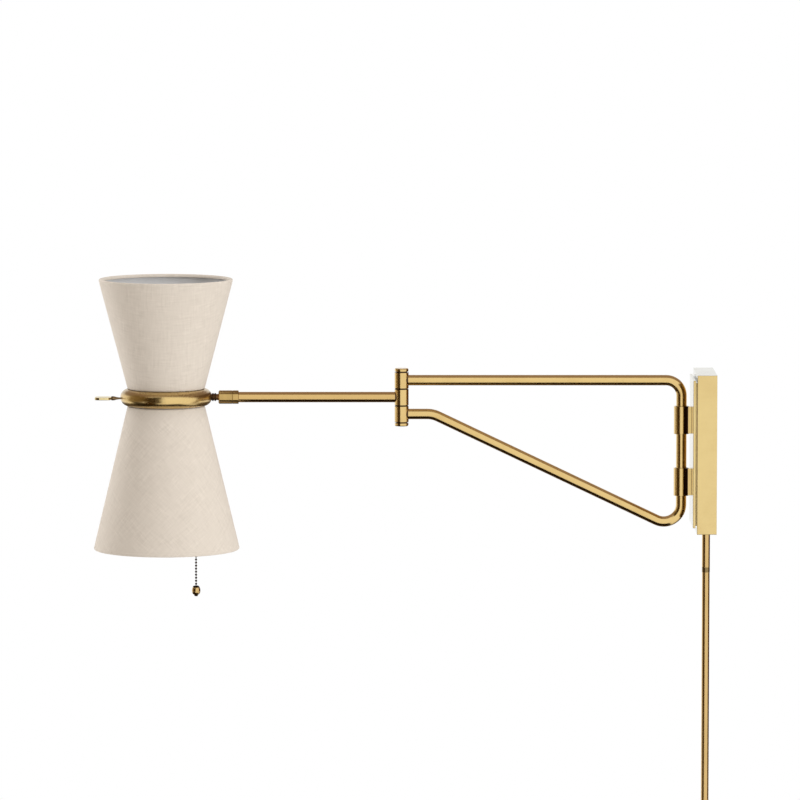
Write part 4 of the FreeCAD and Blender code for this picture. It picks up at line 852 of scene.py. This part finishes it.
def card(name, centre, right, up, near, far=None, reach=None):
    """Studio card that only shows in reflections; with a second tint it fades from near to far along Y."""
    finish, tree = bare_finish(name)
    tint = rgba(near)
    if far is not None:
        tint = colour_mix(tree, span(tree, one_axis(tree, object_place(tree), Y_AXIS), *reach), near, far)
    glow = shade_node(tree, "ShaderNodeEmission", {"Color": tint, "Strength": 1.0})
    shade_node(tree, "ShaderNodeOutputMaterial", {"Surface": glow.outputs[0]})
    made = new_object(name, flat_panel(centre, right, up), finish)
    made.visible_camera = False
    made.visible_diffuse = False
    made.visible_transmission = False
    made.visible_volume_scatter = False
    made.visible_shadow = False


def seen_rays(tree):
    """One where the ray comes from the camera, a reflection or a transmission."""
    path = tree.nodes.new("ShaderNodeLightPath").outputs
    direct = maths(tree, "MAXIMUM", path["Is Camera Ray"], path["Is Glossy Ray"])
    return maths(tree, "MAXIMUM", direct, path["Is Transmission Ray"])


def shader_mix(tree, factor, first, second):
    """Mixes two shader nodes."""
    return shade_node(tree, "ShaderNodeMixShader", {0: factor, 1: first.outputs[0], 2: second.outputs[0]})


def set_camera(scene, stage):
    """Places the camera in front of the lamp, looking slightly down."""
    camera = bpy.data.cameras.new("camera")
    camera.sensor_width = SENSOR
    camera.lens = stage.lens
    camera.clip_end = FAR_CLIP
    viewer = bpy.data.objects.new("camera", camera)
    back = Vector((0.0, -math.cos(stage.pitch), math.sin(stage.pitch)))
    viewer.location = Vector(stage.target) + back * stage.distance
    viewer.rotation_euler = (-back).to_track_quat("-Z", "Y").to_euler()
    scene.collection.objects.link(viewer)
    scene.camera = viewer


def set_surround(scene, stage):
    """Even light from all round, which looks white."""
    world = bpy.data.worlds.new("white_surround")
    scene.world = world
    world.use_nodes = True
    tree = world.node_tree
    tree.nodes.clear()
    even = shade_node(tree, "ShaderNodeBackground", {"Color": rgba(FILL_TINT), "Strength": stage.fill})
    white = shade_node(tree, "ShaderNodeBackground", {"Color": rgba(WHITE), "Strength": 1.0})
    both = shader_mix(tree, seen_rays(tree), even, white)
    shade_node(tree, "ShaderNodeOutputWorld", {"Surface": both.outputs[0]})


def lay_floor(stage):
    """Pale floor that keeps the lamp's shadow, fades to white and is clear from below."""
    under = Vector((stage.target[0], 0.0, -stage.floor))
    finish, tree = bare_finish("pale_floor")
    matt = shade_node(tree, "ShaderNodeBsdfDiffuse", {"Color": rgba(FLOOR_TINT)})
    glow = shade_node(tree, "ShaderNodeEmission", {"Color": rgba(WHITE), "Strength": 1.0})
    away = shade_node(tree, "ShaderNodeVectorMath", {0: object_place(tree), 1: under}, operation="DISTANCE")
    blend = span(tree, away.outputs["Value"], *FLOOR_FADE, FLOOR_WHITE, 1.0, smooth=True)
    lit = shader_mix(tree, maths(tree, "MULTIPLY", seen_rays(tree), blend), matt, glow)
    below = tree.nodes.new("ShaderNodeNewGeometry").outputs["Backfacing"]
    sided = shader_mix(tree, below, lit, tree.nodes.new("ShaderNodeBsdfTransparent"))
    shade_node(tree, "ShaderNodeOutputMaterial", {"Surface": sided.outputs[0]})
    floor = new_object("floor", flat_panel(under, (FLOOR_HALF, 0, 0), (0, FLOOR_HALF, 0)), finish)


class LAMP_OT_stage(bpy.types.Operator):
    """Set up the camera, the white surround, the floor, the lamps and the studio cards"""
    bl_idname = "wall_lamp.stage"
    bl_label = "Stage"

    def execute(self, context):
        scene, stage = context.scene, context.scene.wall_lamp_stage
        scene.view_settings.view_transform = "Standard"
        set_camera(scene, stage)
        set_surround(scene, stage)
        lay_floor(stage)
        for row in SOFTBOXES:
            softbox(*row)
        for row in CARDS:
            card(*row)
        return {"FINISHED"}


class LAMP_PT_sidebar(bpy.types.Panel):
    """Lists the lamp's steps and the sizes and colours that they use"""
    bl_idname = "LAMP_PT_sidebar"
    bl_label = "Wall lamp"
    bl_space_type = "VIEW_3D"
    bl_region_type = "UI"
    bl_category = "Wall lamp"

    def draw(self, context):
        for step in STEPS:
            self.layout.operator(step.bl_idname)
        for group in GROUPS:
            settings = getattr(context.scene, group)
            box = self.layout.box()
            for name in settings.bl_rna.properties.keys():
                if name not in ("rna_type", "name"):
                    box.prop(settings, name)


GROUPS = {
    "wall_lamp_shades": LampShadeSettings,
    "wall_lamp_metal": LampMetalSettings,
    "wall_lamp_tarnish": LampPaintedLightSettings,
    "wall_lamp_stage": LampStageSettings,
}
STEPS = (LAMP_OT_stage, LAMP_OT_canopy, LAMP_OT_arms, LAMP_OT_head, LAMP_OT_cord_cover, LAMP_OT_fittings,
         LAMP_OT_covers, LAMP_OT_finial)
CLASSES = (*GROUPS.values(), *STEPS, LAMP_PT_sidebar)


def register():
    """Adds the lamp's settings, operators and panel."""
    for each in CLASSES:
        bpy.utils.register_class(each)
    for name, group in GROUPS.items():
        setattr(bpy.types.Scene, name, PointerProperty(type=group))


def unregister():
    """Takes them away again."""
    for name in GROUPS:
        delattr(bpy.types.Scene, name)
    for each in reversed(CLASSES):
        bpy.utils.unregister_class(each)


def main():
    """Makes the lamp step by step."""
    register()
    for step in STEPS:
        group, name = step.bl_idname.split(".")
        getattr(getattr(bpy.ops, group), name)()


if __name__ == "__main__":
    main()
